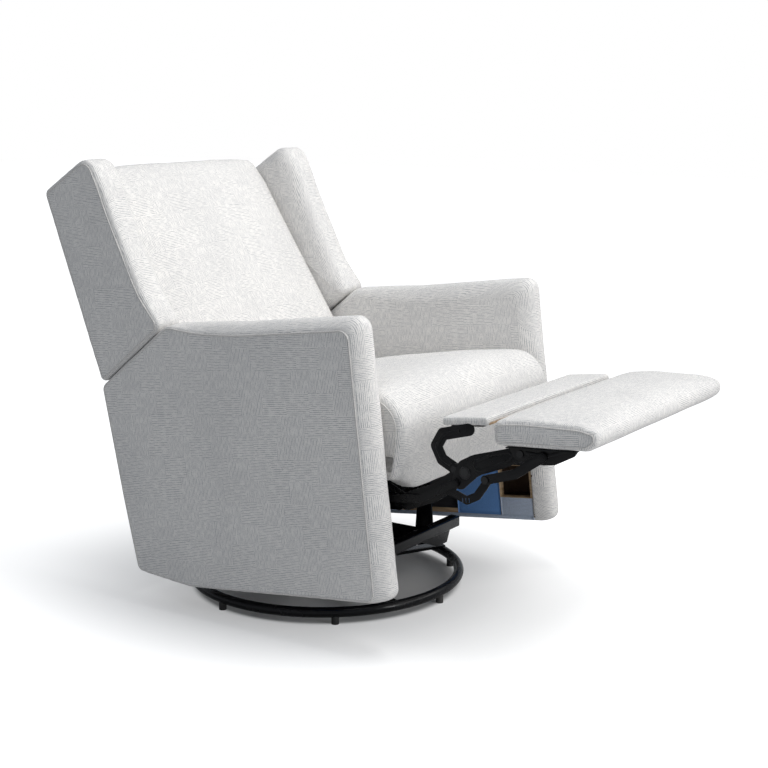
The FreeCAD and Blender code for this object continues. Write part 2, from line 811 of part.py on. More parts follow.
def footBracket():
    """An angle under the footrest with the eyes of the carrier and control links."""
    top0, top1 = padPoint(26, -0.2), padPoint(168, -0.2)
    outline = [top0 + (2,), top1 + (2,), (-790, 352, 10), (-750, 336, 12), (-727, 335, 12),
               (-690, 340, 14), (-666, 346, 12)]
    web = plate(outline, outerX, plateThick)
    flange = plate([top0 + (1,), top1 + (1,), padPoint(168, -2.7) + (1,), padPoint(26, -2.7) + (1,)],
                   outerX, footFlangeWidth)
    stub = rod(controlPivot[0], controlPivot[1], pinRadius, outerX, controlX - 0.4)
    solid = web.fuse(flange).fuse(stub).removeSplitter()
    return solid.cut(rod(carrierPivot[0], carrierPivot[1], pinRadius + runFit, outerX - 1, controlX))


def gooseneck():
    """The C-shaped arm that carries the middle footrest."""
    path = [flipperPivot, (-501, 338), (-491, 364), (-508, 387), (-566, 396)]
    arm = link(path, 12, neckX, plateThick, [])
    flange = box(neckX - 16, neckX + 1, -598, -528, flipperSeat - 2.5, flipperSeat)
    solid = arm.fuse(flange).removeSplitter()
    return solid.cut(rod(flipperPivot[0], flipperPivot[1], pinRadius + runFit, neckX - 1, neckX + 4))


def flipperBoard():
    half = flipperWidth / 2 - 4
    return box(-half, half, flipperRear + 3, flipperRear + flipperDepth - 3, flipperSeat,
               flipperSeat + flipperBoardThick)


def flipperPad():
    """The small pad of the middle footrest, thin and lightly crowned."""
    low = flipperSeat + flipperBoardThick
    top = low + flipperPadThick
    y0, y1 = flipperRear - 2, flipperRear + flipperDepth

    def profile(swell):
        return [(y1, low, 3), (y1 - 1, top - 4, 4), (y0 / 2 + y1 / 2, top + swell, 200),
                (y0 + 1, top - 2, 4), (y0, low, 3)]

    return crossLoft(profile, crownStations(flipperWidth / 2, 2, 2))


def chassisRivets():
    """Rivets fixed in the side plates for the drive and lower links."""
    drive = rivet(drivePivot, driveX - 0.3, plateX + plateThick, pinRadius, pinRadius + 3)
    lower = rivet(lowerPivot, plateX, outerX + plateThick + 0.3, pinRadius, pinRadius + 3)
    pins = [drive, lower]
    return Part.makeCompound(pins + [mirrored(p) for p in pins])


def driveRivets():
    """Rivets fixed in the drive links for the carrier, gooseneck and control links."""
    pins = [rivet(scissorPivot, driveX, plateX + plateThick + 0.3, pinRadius, pinRadius + 5),
            rivet(flipperPivot, neckX - 0.3, driveX + plateThick, pinRadius, pinRadius + 3),
            rivet(driveTip, driveX, controlX + plateThick + 0.3, pinRadius, pinRadius + 3)]
    return Part.makeCompound(pins + [mirrored(p) for p in pins])


def carrierRivets():
    """Rivets fixed in the carrier links; the tail's stub stops short of the lower link."""
    stub = rod(carrierTail[0], carrierTail[1], pinRadius, plateX + plateThick, outerX - 0.4)
    pins = [rivet(carrierPivot, plateX, outerX + plateThick + 0.3, pinRadius, pinRadius + 3), stub]
    return Part.makeCompound(pins + [mirrored(p) for p in pins])


def pair(name, maker, isTilted=True):
    shape = maker()
    save(name + "_left", shape, isTilted)
    save(name + "_right", mirrored(shape), isTilted)


def build():
    os.makedirs("parts", exist_ok=True)
    save("ring_tube", ringTorus())
    save("base_cross", baseCross())
    save("foot_glides", footGlides())
    save("hub_plate", disc(hubRadius, crossTop, hubThick, swivelBoltRadius))
    save("bearing_lower_race", disc(raceRadius, hubTop, raceThick, swivelBoltRadius).cut(ballGroove()))
    save("bearing_balls", bearingBalls())
    save("swivel_bolt", swivelBolt())
    save("bearing_upper_race",
         disc(raceRadius, upperRaceLow, raceThick, swivelBoltRadius + runFit).cut(ballGroove()))
    save("swivel_plate", swivelPlate())
    save("glider_rails", bothSides(gliderRail()))
    save("glider_posts", gliderPosts())
    save("glider_cross_front", crossMember(-1))
    save("glider_cross_rear", crossMember(1))
    save("glider_gussets", crossGussets())
    save("glider_upper_pins", upperPins())
    save("glider_front_links", bothSides(frontLink()))
    save("glider_rear_links", bothSides(rearLink()))
    save("chassis_hangers", bothSides(hanger()), True)
    save("glider_lower_pins", lowerPins(), True)
    save("chassis_tubes", chassisTubes(), True)
    pair("chassis_plate", chassisPlate)
    save("chassis_bolts", chassisBolts(), True)
    save("seat_frame", seatFrame(), True)
    save("seat_springs", seatSprings(), True)
    save("seat_deck", seatDeck(), True)
    save("seat_cushion", seatCushion(), True)
    save("arm_panels", bothSides(armPanel()), True)
    pair("arm_cover", armCover)
    save("rear_rail", rearRail(), True)
    save("lower_back_panel", lowerBackPanel(), True)
    save("back_frame", backFrame(), True)
    save("back_springs", backSprings(), True)
    save("back_outer_panel", backPanel(), True)
    save("back_cushion", backCushion(), True)
    save("wing_boards", bothSides(wingBoard()), True)
    pair("wing_cover", wingCover)
    save("recline_brackets", bothSides(reclineBracket()), True)
    save("recline_pins", reclinePins(), True)
    save("footrest_pivots", chassisRivets(), True)
    pair("drive_link", driveLink)
    save("torque_tube", torqueTube(), True)
    save("drive_rivets", driveRivets(), True)
    pair("carrier_link", carrierLink)
    save("carrier_rivets", carrierRivets(), True)
    pair("lower_link", lowerLink)
    pair("control_link", controlLink)
    save("footrest_pad", footPad(), True)
    save("footrest_board", footBoard(), True)
    save("footrest_brackets", bothSides(footBracket()), True)
    save("goosenecks", bothSides(gooseneck()), True)
    save("middle_board", flipperBoard(), True)
    save("middle_pad", flipperPad(), True)


build()
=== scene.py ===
import math
import bmesh
import bpy
import numpy as np
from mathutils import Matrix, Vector


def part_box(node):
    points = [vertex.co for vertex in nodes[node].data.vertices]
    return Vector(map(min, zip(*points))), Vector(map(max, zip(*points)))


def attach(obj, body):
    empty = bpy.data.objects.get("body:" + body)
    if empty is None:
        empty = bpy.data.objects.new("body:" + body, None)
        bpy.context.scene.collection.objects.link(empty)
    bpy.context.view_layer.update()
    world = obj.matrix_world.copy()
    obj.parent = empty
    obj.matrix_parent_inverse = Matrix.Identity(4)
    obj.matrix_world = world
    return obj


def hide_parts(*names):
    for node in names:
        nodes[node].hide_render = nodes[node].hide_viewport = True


# Swivel glider recliner, dressed round its fixed frame. Shapes are worked out in millimetres in the
# upright chair, x to the sitter's left, y to the rear and z up, and onChair() puts them in the frame.

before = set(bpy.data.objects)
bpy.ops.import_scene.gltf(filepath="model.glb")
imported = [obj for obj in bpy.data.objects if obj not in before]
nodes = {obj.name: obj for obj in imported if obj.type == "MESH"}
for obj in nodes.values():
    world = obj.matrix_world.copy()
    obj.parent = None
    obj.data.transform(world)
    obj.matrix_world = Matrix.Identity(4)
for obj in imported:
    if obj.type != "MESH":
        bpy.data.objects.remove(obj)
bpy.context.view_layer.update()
chairLean = math.radians(6.5)  # of the upper part on its glider links
backLean = math.radians(14.7)  # of the back's rear face in the upright chair
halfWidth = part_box("arm_cover_left")[1].x * 1000
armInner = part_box("arm_cover_left")[0].x * 1000
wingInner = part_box("wing_cover_left")[0].x * 1000
sideNames = {-1: "right", 1: "left"}  # the sitter's


# A turn about X: y becomes y cos + z sin, and z becomes z cos - y sin.
def turnedAboutX(points, angle):
    turned = points.copy()
    turned[..., 1] = points[..., 1] * math.cos(angle) + points[..., 2] * math.sin(angle)
    turned[..., 2] = points[..., 2] * math.cos(angle) - points[..., 1] * math.sin(angle)
    return turned


def onChair(points):  # millimetres in the upright chair to metres in the frame
    return turnedAboutX(np.asarray(points, float) * 0.001, chairLean)


def offChair(points):  # and back
    return turnedAboutX(np.asarray(points, float) * 1000, -chairLean)


# Gentle unevenness of about -1 to 1: plane waves of about size long, added in random directions.
def ripple(points, size, seed, waves=14):
    draw = np.random.default_rng(seed)
    directions = draw.normal(size=(waves, 3))
    directions /= np.linalg.norm(directions, axis=1)[:, None]
    lengths = size * draw.uniform(0.6, 1.7, waves)
    phases = draw.uniform(0, 2 * math.pi, waves)
    steps = (directions * (2 * math.pi / lengths)[:, None]).T
    return np.sin(points @ steps + phases).sum(-1) / math.sqrt(waves) / 1.4


# From 0 at low to 1 at high, as three times the square of the share less twice its cube.
def smoothStep(low, high, value):
    share = np.clip((value - low) / (high - low), 0, 1)
    return share * share * (3 - 2 * share)


def setAll(item, **settings):
    for key, value in settings.items():
        setattr(item, key, value)
    return item


def readAll(items, attribute, width=1, kind=float):  # an attribute of all items, a row for each
    values = np.zeros(len(items) * width, kind)
    items.foreach_get(attribute, values)
    return values.reshape(-1, width) if width > 1 else values


def lengthsAlong(path):  # the running length at each point of a line
    return np.concatenate([[0], np.cumsum(np.linalg.norm(np.diff(path, axis=0), axis=1))])


# Puts points and faces in a mesh. One that is inside out, by its signed volume, is turned.
def buildMesh(name, points, quads, triangles=None, quadUv=None, triangleUv=None, smooth=True):
    points = np.asarray(points, float).reshape(-1, 3)
    quads = np.asarray(quads, int).reshape(-1, 4)
    triangles = np.zeros((0, 3), int) if triangles is None else np.asarray(triangles, int)
    quadUv = np.zeros((len(quads), 4, 2)) if quadUv is None else quadUv
    triangleUv = np.zeros((len(triangles), 3, 2)) if triangleUv is None else triangleUv
    split = np.vstack([quads[:, [0, 1, 2]], quads[:, [0, 2, 3]], triangles])
    a, b, c = points[split[:, 0]], points[split[:, 1]], points[split[:, 2]]
    if (a * np.cross(b, c)).sum() < 0:
        quads, quadUv = quads[:, ::-1], quadUv[:, ::-1]
        triangles, triangleUv = triangles[:, ::-1], triangleUv[:, ::-1]
    mesh = bpy.data.meshes.new(name)
    mesh.vertices.add(len(points))
    mesh.vertices.foreach_set("co", points.ravel())
    corners = np.concatenate([quads.ravel(), triangles.ravel()])
    starts = np.concatenate([np.arange(len(quads)) * 4, len(quads) * 4 + np.arange(len(triangles)) * 3])
    mesh.loops.add(len(corners))
    mesh.loops.foreach_set("vertex_index", corners)
    mesh.polygons.add(len(starts))
    mesh.polygons.foreach_set("loop_start", starts)
    mesh.update(calc_edges=True)
    mesh.validate()
    layer = mesh.uv_layers.new(name="weave")
    layer.data.foreach_set("uv", np.concatenate([quadUv.ravel(), triangleUv.ravel()]))
    mesh.polygons.foreach_set("use_smooth", np.full(len(mesh.polygons), smooth))
    return placeMesh(name, mesh)


def placeMesh(name, mesh):
    piece = bpy.data.objects.new(name, mesh)
    bpy.context.scene.collection.objects.link(piece)
    return piece


# Quads of a rows x columns grid of points that are numbered row by row.
def gridFaces(rows, columns, closeRows=False, closeColumns=True):
    r = np.arange(rows if closeRows else rows - 1)[:, None]
    c = np.arange(columns if closeColumns else columns - 1)[None, :]
    nextRow, nextColumn = (r + 1) % rows, (c + 1) % columns
    corners = [r * columns + c, nextRow * columns + c, nextRow * columns + nextColumn, r * columns + nextColumn]
    return np.stack(np.broadcast_arrays(*corners), -1).reshape(-1, 4)


def finish(piece, material, body, replaces=()):
    piece.data.materials.clear()
    piece.data.materials.append(material)
    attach(piece, body)
    if replaces:
        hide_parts(*replaces)
    return piece


def join(name, parts):  # one object out of several
    made = bmesh.new()
    for part in parts:
        made.from_mesh(part.data)
        bpy.data.objects.remove(part)
    mesh = bpy.data.meshes.new(name)
    made.to_mesh(mesh)
    made.free()
    return placeMesh(name, mesh)


def applyModifiers(piece):  # puts the evaluated mesh in the piece
    bpy.context.view_layer.update()
    shown = piece.evaluated_get(bpy.context.evaluated_depsgraph_get())
    mesh = bpy.data.meshes.new_from_object(shown)
    piece.modifiers.clear()
    piece.data = mesh


# Corners (y, z, radius) of a side view as one closed line: straight runs joined by bends that touch
# both. A bend reaches its radius times the tangent of half its turn along each run. It is a cubic
# curve whose handles are 4/3 of tan(turn / 4) over tan(turn / 2) of that reach, close to an arc.
def roundedPath(corners, bendPoints=13):
    corners = np.asarray(corners, float)
    here, radius = corners[:, :2], corners[:, 2]
    back = np.roll(here, 1, 0) - here
    ahead = np.roll(here, -1, 0) - here
    backLength, aheadLength = np.linalg.norm(back, axis=1), np.linalg.norm(ahead, axis=1)
    back /= backLength[:, None]
    ahead /= aheadLength[:, None]
    half = np.arccos(np.clip((back * ahead).sum(1), -1, 1)) / 2
    turn = np.maximum(math.pi - 2 * half, 1e-3)
    reach = np.minimum(radius * np.tan(turn / 2), 0.49 * np.minimum(backLength, aheadLength))
    handle = reach * (1 - 4 / 3 * np.tan(turn / 4) / np.tan(turn / 2))
    t = np.linspace(0, 1, bendPoints)[None, :, None]
    curve = [here + back * reach[:, None], here + back * handle[:, None],
             here + ahead * handle[:, None], here + ahead * reach[:, None]]
    weights = [(1 - t) ** 3, 3 * t * (1 - t) ** 2, 3 * t * t * (1 - t), t ** 3]
    return sum(w * c[:, None] for w, c in zip(weights, curve)).reshape(-1, 2)


# The outline at each swell, with count points at even steps along the mean of the outlines.
def outlineRings(makeCorners, swells, count):
    paths = np.array([roundedPath(makeCorners(swell)) for swell in swells])
    paths = np.concatenate([paths, paths[:, :1]], 1)
    steps = np.linalg.norm(np.diff(paths, axis=1), axis=2).mean(0)
    along = np.concatenate([[0], np.cumsum(steps)])
    even = np.linspace(0, along[-1], count, endpoint=False)
    return np.array([np.stack([np.interp(even, along, path[:, 0]), np.interp(even, along, path[:, 1])], 1)
                     for path in paths])


# Unit normals of a closed outline, its tangents turned a quarter, so that they point out of it.
def outward(ring):
    tangent = np.roll(ring, -1, 0) - np.roll(ring, 1, 0)
    tangent /= np.linalg.norm(tangent, axis=1)[:, None] + 1e-9
    normal = np.stack([tangent[:, 1], -tangent[:, 0]], 1)
    area = (ring[:, 0] * np.roll(ring[:, 1], -1) - np.roll(ring[:, 0], -1) * ring[:, 1]).sum()
    return normal if area > 0 else -normal


# A closed solid of two side panels and a band between them. across holds x, swell and inset of each
# ring of the band. A panel shrinks the band's end ring towards centre and bulges by puff times one
# minus the fourth power of its share. bumps(points, edge) is a further move along the surface's
# normal, where edge is the distance from the nearer end ring. The band's cloth map is its true
# lengths along and across, and a panel's is the side view.
def boxedSolid(name, makeCorners, across, count, centre, puff, bumps=None, panelRings=16):
    rings = outlineRings(makeCorners, across[:, 1], count)
    for ring, inset in zip(rings, across[:, 2]):
        ring -= outward(ring) * inset
    share = np.append(np.linspace(0, 1, panelRings + 1)[1:-1] ** 0.8, 0.985)
    middle = np.asarray(centre, float)
    panels, bulges = [], []
    for k, direction in ((0, -1), (-1, 1)):
        near = share[::-direction]
        panels.append(middle + (rings[k] - middle) * near[:, None, None])
        bulges.append(across[k, 0] + direction * puff * (1 - near ** 4))
    outline = np.concatenate([panels[0], rings, panels[1]])
    x = np.concatenate([bulges[0], across[:, 0], bulges[1]])
    points = np.concatenate([np.broadcast_to(x[:, None, None], outline.shape[:2] + (1,)), outline], 2)
    bandStart, bandEnd = len(share), len(share) + len(rings) - 1
    if bumps is not None:
        normal = np.cross(np.gradient(points, axis=0), np.roll(points, -1, 1) - np.roll(points, 1, 1))
        normal /= np.linalg.norm(normal, axis=2)[..., None] + 1e-9
        if normal[-2, :, 0].mean() < 0:
            normal = -normal
        ends = points[[bandStart, bandEnd]]
        edge = np.linalg.norm(points[None] - ends[:, None], axis=3).min(0)
        points = points + normal * bumps(points, edge)[..., None]
    rows = len(points)
    widths = np.linalg.norm(np.diff(points, axis=0), axis=2).mean(1)
    alongRing = np.linalg.norm(np.diff(np.concatenate([points, points[:, :1]], 1), axis=1), axis=2)
    bandUv = np.stack(np.broadcast_arrays(np.concatenate([[0], np.cumsum(widths)])[:, None],
                                          np.pad(np.cumsum(alongRing, 1), ((0, 0), (1, 0)))), -1)
    panelUv = np.concatenate([points[:, :, 1:], points[:, :1, 1:]], 1)
    onPanel = (np.arange(rows - 1) < bandStart) | (np.arange(rows - 1) >= bandEnd)
    corners = [(slice(dr, rows - 1 + dr), slice(dc, count + dc)) for dr, dc in ((0, 0), (1, 0), (1, 1), (0, 1))]
    quadUv = np.stack([np.where(onPanel[:, None, None], panelUv[corner], bandUv[corner])
                       for corner in corners], 2).reshape(-1, 4, 2) * 0.001
    poles = [[points[row, :, 0].mean(), *middle] for row in (0, -1)]
    everything = np.vstack([points.reshape(-1, 3), poles])
    c = np.arange(count)
    pole = np.full(count, rows * count)
    lastRow = (rows - 1) * count
    triangles = np.concatenate([np.stack([pole, c, (c + 1) % count], 1),
                                np.stack([pole + 1, lastRow + (c + 1) % count, lastRow + c], 1)])
    piece = buildMesh(name, onChair(everything), gridFaces(rows, count), triangles, quadUv,
                      everything[triangles][..., 1:] * 0.001)
    return piece, points[[bandStart, bandEnd]]


# A tube along a path: rings in the plane of X, or what is left of it across the path, and of that
# crossed with the path's tangent. flat shrinks it along the first.
def tube(name, path, radius, closed=False, sides=8, flat=1.0):
    path = np.asarray(path, float)
    tangent = np.roll(path, -1, 0) - np.roll(path, 1, 0) if closed else np.gradient(path, axis=0)
    tangent /= np.linalg.norm(tangent, axis=1)[:, None] + 1e-12
    first = np.array([1.0, 0, 0]) - tangent * tangent[:, :1]
    first /= np.linalg.norm(first, axis=1)[:, None]
    second = np.cross(tangent, first)
    angle = np.linspace(0, 2 * math.pi, sides, endpoint=False)
    points = (path[:, None] + radius * (flat * np.cos(angle)[None, :, None] * first[:, None]
                                        + np.sin(angle)[None, :, None] * second[:, None])).reshape(-1, 3)
    faces = gridFaces(len(path), sides, closeRows=closed)
    uv = np.stack([lengthsAlong(path)[faces // sides], angle[faces % sides] * radius], -1)
    triangles = None
    if not closed:
        points = np.vstack([points, path[:1], path[-1:]])
        c, following = np.arange(sides), (np.arange(sides) + 1) % sides
        last = (len(path) - 1) * sides
        pole = np.full(sides, len(points) - 2)
        triangles = np.concatenate([np.stack([pole, following, c], 1),
                                    np.stack([pole + 1, last + c, last + following], 1)])
    return buildMesh(name, points, faces, triangles, uv)


# A thin sheet with two faces and a rim. inner and outer are grids of points that far apart, and
# axes are the two that the cloth map takes.
def thinSheet(name, inner, outer, axes):
    rows, columns = inner.shape[:2]
    grid = np.arange(rows * columns).reshape(rows, columns)
    rim = np.concatenate([grid[0], grid[1:, -1], grid[-1, -2::-1], grid[-2:0:-1, 0]])
    following = np.roll(rim, -1)
    face = gridFaces(rows, columns, closeColumns=False)
    faces = np.vstack([face[:, ::-1], face + rows * columns,
                       np.stack([rim, following, following + rows * columns, rim + rows * columns], 1)])
    points = np.vstack([inner.reshape(-1, 3), outer.reshape(-1, 3)])
    return buildMesh(name, onChair(points), faces, quadUv=points[faces][..., axes] * 0.001)


def newNode(tree, kind, **settings):
    return setAll(tree.nodes.new(kind), **settings)


def plug(tree, value, socket):  # a link from a socket, or a plain value
    if isinstance(value, bpy.types.NodeSocket):
        tree.links.new(value, socket)
    else:
        socket.default_value = value


def maths(tree, operation, *values):
    node = newNode(tree, "ShaderNodeMath", operation=operation)
    for value, socket in zip(values, node.inputs):
        plug(tree, value, socket)
    return node.outputs[0]


def plus(tree, a, b): return maths(tree, "ADD", a, b)
def less(tree, a, b): return maths(tree, "SUBTRACT", a, b)
def times(tree, a, b): return maths(tree, "MULTIPLY", a, b)


def blendColour(tree, factor, a, b):
    node = newNode(tree, "ShaderNodeMix", data_type="RGBA")
    for value, index in ((factor, 0), (a, 6), (b, 7)):
        plug(tree, value, node.inputs[index])
    return node.outputs[2]


def spread(tree, value, fromLow, fromHigh, toLow, toHigh):  # a smooth step between two levels
    node = newNode(tree, "ShaderNodeMapRange", interpolation_type="SMOOTHSTEP")
    for item, socket in zip((value, fromLow, fromHigh, toLow, toHigh), node.inputs):
        plug(tree, item, socket)
    return node.outputs[0]


def noise(tree, place, scale, detail, **settings):
    node = newNode(tree, "ShaderNodeTexNoise", **settings)
    plug(tree, place, node.inputs["Vector"])
    plug(tree, scale, node.inputs["Scale"])
    node.inputs["Detail"].default_value = detail
    return node.outputs["Fac"]


def pair(tree, x, y):
    node = newNode(tree, "ShaderNodeCombineXYZ")
    plug(tree, x, node.inputs[0])
    plug(tree, y, node.inputs[1])
    return node.outputs[0]


# An empty shader group that puts out a colour, a height and a roughness. Its inputs are
# name: default, where a tuple is a colour, a number a value, and None a vector.
def newGroup(name, inputs):
    tree = bpy.data.node_groups.new(name, "ShaderNodeTree")
    kinds = {tuple: "NodeSocketColor", float: "NodeSocketFloat", type(None): "NodeSocketVector"}
    for label, default in inputs.items():
        socket = tree.interface.new_socket(name=label, in_out="INPUT", socket_type=kinds[type(default)])
        if default is not None:
            socket.default_value = default
    for label, kind in (("Color", tuple), ("Height", float), ("Roughness", float)):
        tree.interface.new_socket(name=label, in_out="OUTPUT", socket_type=kinds[kind])
    return tree, newNode(tree, "NodeGroupInput").outputs, newNode(tree, "NodeGroupOutput").inputs


# The cloth's hatching, in metres: patches of threads that run crosswise or lengthwise, each row of
# patches shifted, and the ground's plain weave.
weaveLook = dict(patchWidth=0.056, patchHeight=0.044, rowShift=0.0171, turned=0.78, pitch=0.0029,
                 pitchSpread=0.0009, wander=0.0009, yarn=0.0013, dashes=55.0, slubs=420, shades=6)


# Plain weave with fine grey threads. The patch of a point is its place divided by the patch's size,
# rounded down, and odd patches, or a chance few, turn the threads. A thread is where the distance
# across, divided by the pitch, is near a whole number, broken up along it by noise.
def hatchedWeave():
    look = weaveLook
    tree, given, result = newGroup("hatchedWeave", {
        "Vector": None, "Base": (0.8, 0.78, 0.75, 1), "Thread": (0.4, 0.4, 0.42, 1), "Strength": 0.5})
    cloth = given["Vector"]
    drift = noise(tree, cloth, 28, 2, noise_dimensions="2D")
    place = newNode(tree, "ShaderNodeSeparateXYZ")
    plug(tree, cloth, place.inputs[0])
    wander = times(tree, less(tree, drift, 0.5), look["wander"])
    u = plus(tree, place.outputs[0], wander)
    v = plus(tree, place.outputs[1], wander)
    row = maths(tree, "FLOOR", maths(tree, "DIVIDE", v, look["patchHeight"]))
    shifted = plus(tree, u, times(tree, row, look["rowShift"]))
    column = maths(tree, "FLOOR", maths(tree, "DIVIDE", shifted, look["patchWidth"]))
    chance = newNode(tree, "ShaderNodeTexWhiteNoise", noise_dimensions="2D")
    plug(tree, pair(tree, column, row), chance.inputs["Vector"])
    odd = maths(tree, "PINGPONG", plus(tree, column, row), 1.0)
    flip = maths(tree, "GREATER_THAN", chance.outputs["Value"], look["turned"])
    turn = maths(tree, "ABSOLUTE", less(tree, odd, flip))
    straight = less(tree, 1.0, turn)
    across = plus(tree, times(tree, u, turn), times(tree, v, straight))
    along = plus(tree, times(tree, v, turn), times(tree, u, straight))
    pitch = plus(tree, look["pitch"], times(tree, chance.outputs["Value"], look["pitchSpread"]))
    count = maths(tree, "DIVIDE", across, pitch)
    offLine = maths(tree, "ABSOLUTE", less(tree, maths(tree, "FRACT", count), 0.5))
    dash = noise(tree, pair(tree, maths(tree, "FLOOR", count), times(tree, along, look["dashes"])), 1.0, 1,
                 noise_dimensions="2D")
    line = times(tree, spread(tree, offLine, 0.10, 0.27, 1.0, 0.0), spread(tree, dash, 0.3, 0.62, 0.25, 1.0))
    turns = 2 * math.pi / look["yarn"]
    yarn = times(tree, maths(tree, "SINE", times(tree, u, turns)), maths(tree, "SINE", times(tree, v, turns)))
    slub = noise(tree, cloth, look["slubs"], 3, noise_dimensions="2D")
    tone = noise(tree, cloth, look["shades"], 3, noise_dimensions="2D")
    colour = given["Base"]
    for share in (times(tree, line, given["Strength"]), spread(tree, slub, 0.52, 0.72, 0.0, 0.30),
                  spread(tree, tone, 0.3, 0.7, 0.0, 0.06)):
        colour = blendColour(tree, share, colour, given["Thread"])
    height = plus(tree, times(tree, yarn, 0.35), times(tree, line, -0.55))
    plug(tree, colour, result["Color"])
    plug(tree, plus(tree, height, times(tree, slub, 0.5)), result["Height"])
    plug(tree, plus(tree, 0.82, times(tree, line, 0.1)), result["Roughness"])
    return tree


# Fine orange peel with clouds of faint dust, for coated and bare metal: where the cloud is thick,
# the colour goes towards Dust and the roughness from Smooth to Rough.
def handledSurface():
    tree, given, result = newGroup("handledSurface", {
        "Base": (0.02, 0.02, 0.02, 1), "Dust": (0.2, 0.2, 0.2, 1), "DustAmount": 0.1, "Smooth": 0.2,
        "Rough": 0.4, "Grain": 900.0})
    where = newNode(tree, "ShaderNodeTexCoord").outputs["Object"]
    peel = noise(tree, where, given["Grain"], 2)
    cloud = spread(tree, noise(tree, where, 22, 5), 0.42, 0.68, 0.0, 1.0)
    dusty = times(tree, cloud, given["DustAmount"])
    plug(tree, blendColour(tree, dusty, given["Base"], given["Dust"]), result["Color"])
    plug(tree, peel, result["Height"])
    rougher = times(tree, cloud, less(tree, given["Rough"], given["Smooth"]))
    plug(tree, plus(tree, given["Smooth"], rougher), result["Roughness"])
    return tree


# Birch ply: long grain from noise that is stretched along the board.
def plyGrain():
    tree, given, result = newGroup("plyGrain", {"Light": (0.6, 0.45, 0.3, 1), "Dark": (0.35, 0.22, 0.12, 1)})
    stretch = newNode(tree, "ShaderNodeMapping")
    plug(tree, newNode(tree, "ShaderNodeTexCoord").outputs["Object"], stretch.inputs["Vector"])
    stretch.inputs["Scale"].default_value = (60, 9, 140)
    grain = noise(tree, stretch.outputs[0], 1.0, 6)
    shade = spread(tree, grain, 0.35, 0.7, 0.0, 0.8)
    plug(tree, blendColour(tree, shade, given["Light"], given["Dark"]), result["Color"])
    plug(tree, grain, result["Height"])
    plug(tree, spread(tree, grain, 0.3, 0.7, 0.55, 0.75), result["Roughness"])
    return tree


# A material whose colour, roughness and bump come from a group. relief is the bump's strength and
# its depth in metres, and sockets are the shader's own.
def newMaterial(name, group, values, relief, **sockets):
    material = bpy.data.materials.new(name)
    material.use_nodes = True
    tree = material.node_tree
    shader = tree.nodes["Principled BSDF"]
    effect = newNode(tree, "ShaderNodeGroup", node_tree=group)
    for key, value in values.items():
        effect.inputs[key].default_value = (*value, 1) if isinstance(value, tuple) else value
    if "Vector" in effect.inputs:
        plug(tree, newNode(tree, "ShaderNodeUVMap", uv_map="weave").outputs[0], effect.inputs["Vector"])
    plug(tree, effect.outputs["Color"], shader.inputs["Base Color"])
    plug(tree, effect.outputs["Roughness"], shader.inputs["Roughness"])
    bump = newNode(tree, "ShaderNodeBump")
    bump.inputs["Strength"].default_value, bump.inputs["Distance"].default_value = relief
    plug(tree, effect.outputs["Height"], bump.inputs["Height"])
    plug(tree, bump.outputs[0], shader.inputs["Normal"])
    for key, value in sockets.items():
        shader.inputs[key].default_value = value
    return material


# For each cloth its ground, its thread, how strongly the thread shows, its relief, and the shader's
# specular level and sheen.
clothLooks = {
    "upholsteryCloth": ((0.86, 0.84, 0.81), (0.20, 0.21, 0.24), 0.62, (0.55, 0.0005), 0.25, 0.12),
    "seamCloth": ((0.70, 0.68, 0.65), (0.30, 0.30, 0.32), 0.35, (0.4, 0.0004), 0.2, 0.0),
    "blueLining": ((0.20, 0.42, 0.86), (0.12, 0.24, 0.52), 0.25, (0.3, 0.0003), 0.2, 0.0),
    "railCloth": ((0.58, 0.66, 0.80), (0.30, 0.34, 0.42), 0.4, (0.4, 0.0004), 0.2, 0.0),
    # The deck's dark cloth is the seat deck's own colour, and also painted shade on the arm pocket linings.
    "deckAndShadeCloth": ((0.05, 0.05, 0.055), (0.02, 0.02, 0.02), 0.5, (0.4, 0.0004), 0.2, 0.0),
}
# For each coat or bare metal its colour, its dust, how much dust, its roughness where clean and
# where rubbed, its grain, its relief, and the shader's metallic and specular level.
coatLooks = {
    "glossBlackCoat": ((0.004, 0.004, 0.005), (0.03, 0.03, 0.032), 0.10, 0.18, 0.32, 700, (0.12, 0.0003),
                       0, 0.22),
    "stampedBlackSteel": ((0.004, 0.004, 0.0045), (0.02, 0.02, 0.022), 0.16, 0.26, 0.42, 1200, (0.2, 0.0003),
                          0, 0.2),
    "rivetSteel": ((0.008, 0.008, 0.009), (0.04, 0.04, 0.04), 0.3, 0.2, 0.38, 1500, (0.15, 0.0002), 0, 0.35),
    "zincSteel": ((0.55, 0.55, 0.56), (0.30, 0.29, 0.27), 0.5, 0.28, 0.5, 1400, (0.15, 0.0002), 1.0, 0.5),
    "springSteel": ((0.20, 0.20, 0.21), (0.12, 0.10, 0.08), 0.4, 0.3, 0.5, 1400, (0.15, 0.0002), 0.9, 0.5),
    "blackNylon": ((0.02, 0.02, 0.02), (0.15, 0.14, 0.13), 0.3, 0.4, 0.6, 600, (0.2, 0.0003), 0, 0.5),
    # The recess colour is a near-black board, painted shade inside the arm pockets.
    "recessPaintedShade": ((0.045, 0.028, 0.018), (0.10, 0.07, 0.05), 0.4, 0.7, 0.9, 300, (0.3, 0.0004), 0, 0.1),
    "stapleSteel": ((0.05, 0.05, 0.055), (0.10, 0.10, 0.10), 0.3, 0.3, 0.5, 1500, (0.1, 0.0002), 0.8, 0.5),
}
plyLook = dict(Light=(0.50, 0.36, 0.22), Dark=(0.26, 0.16, 0.09))

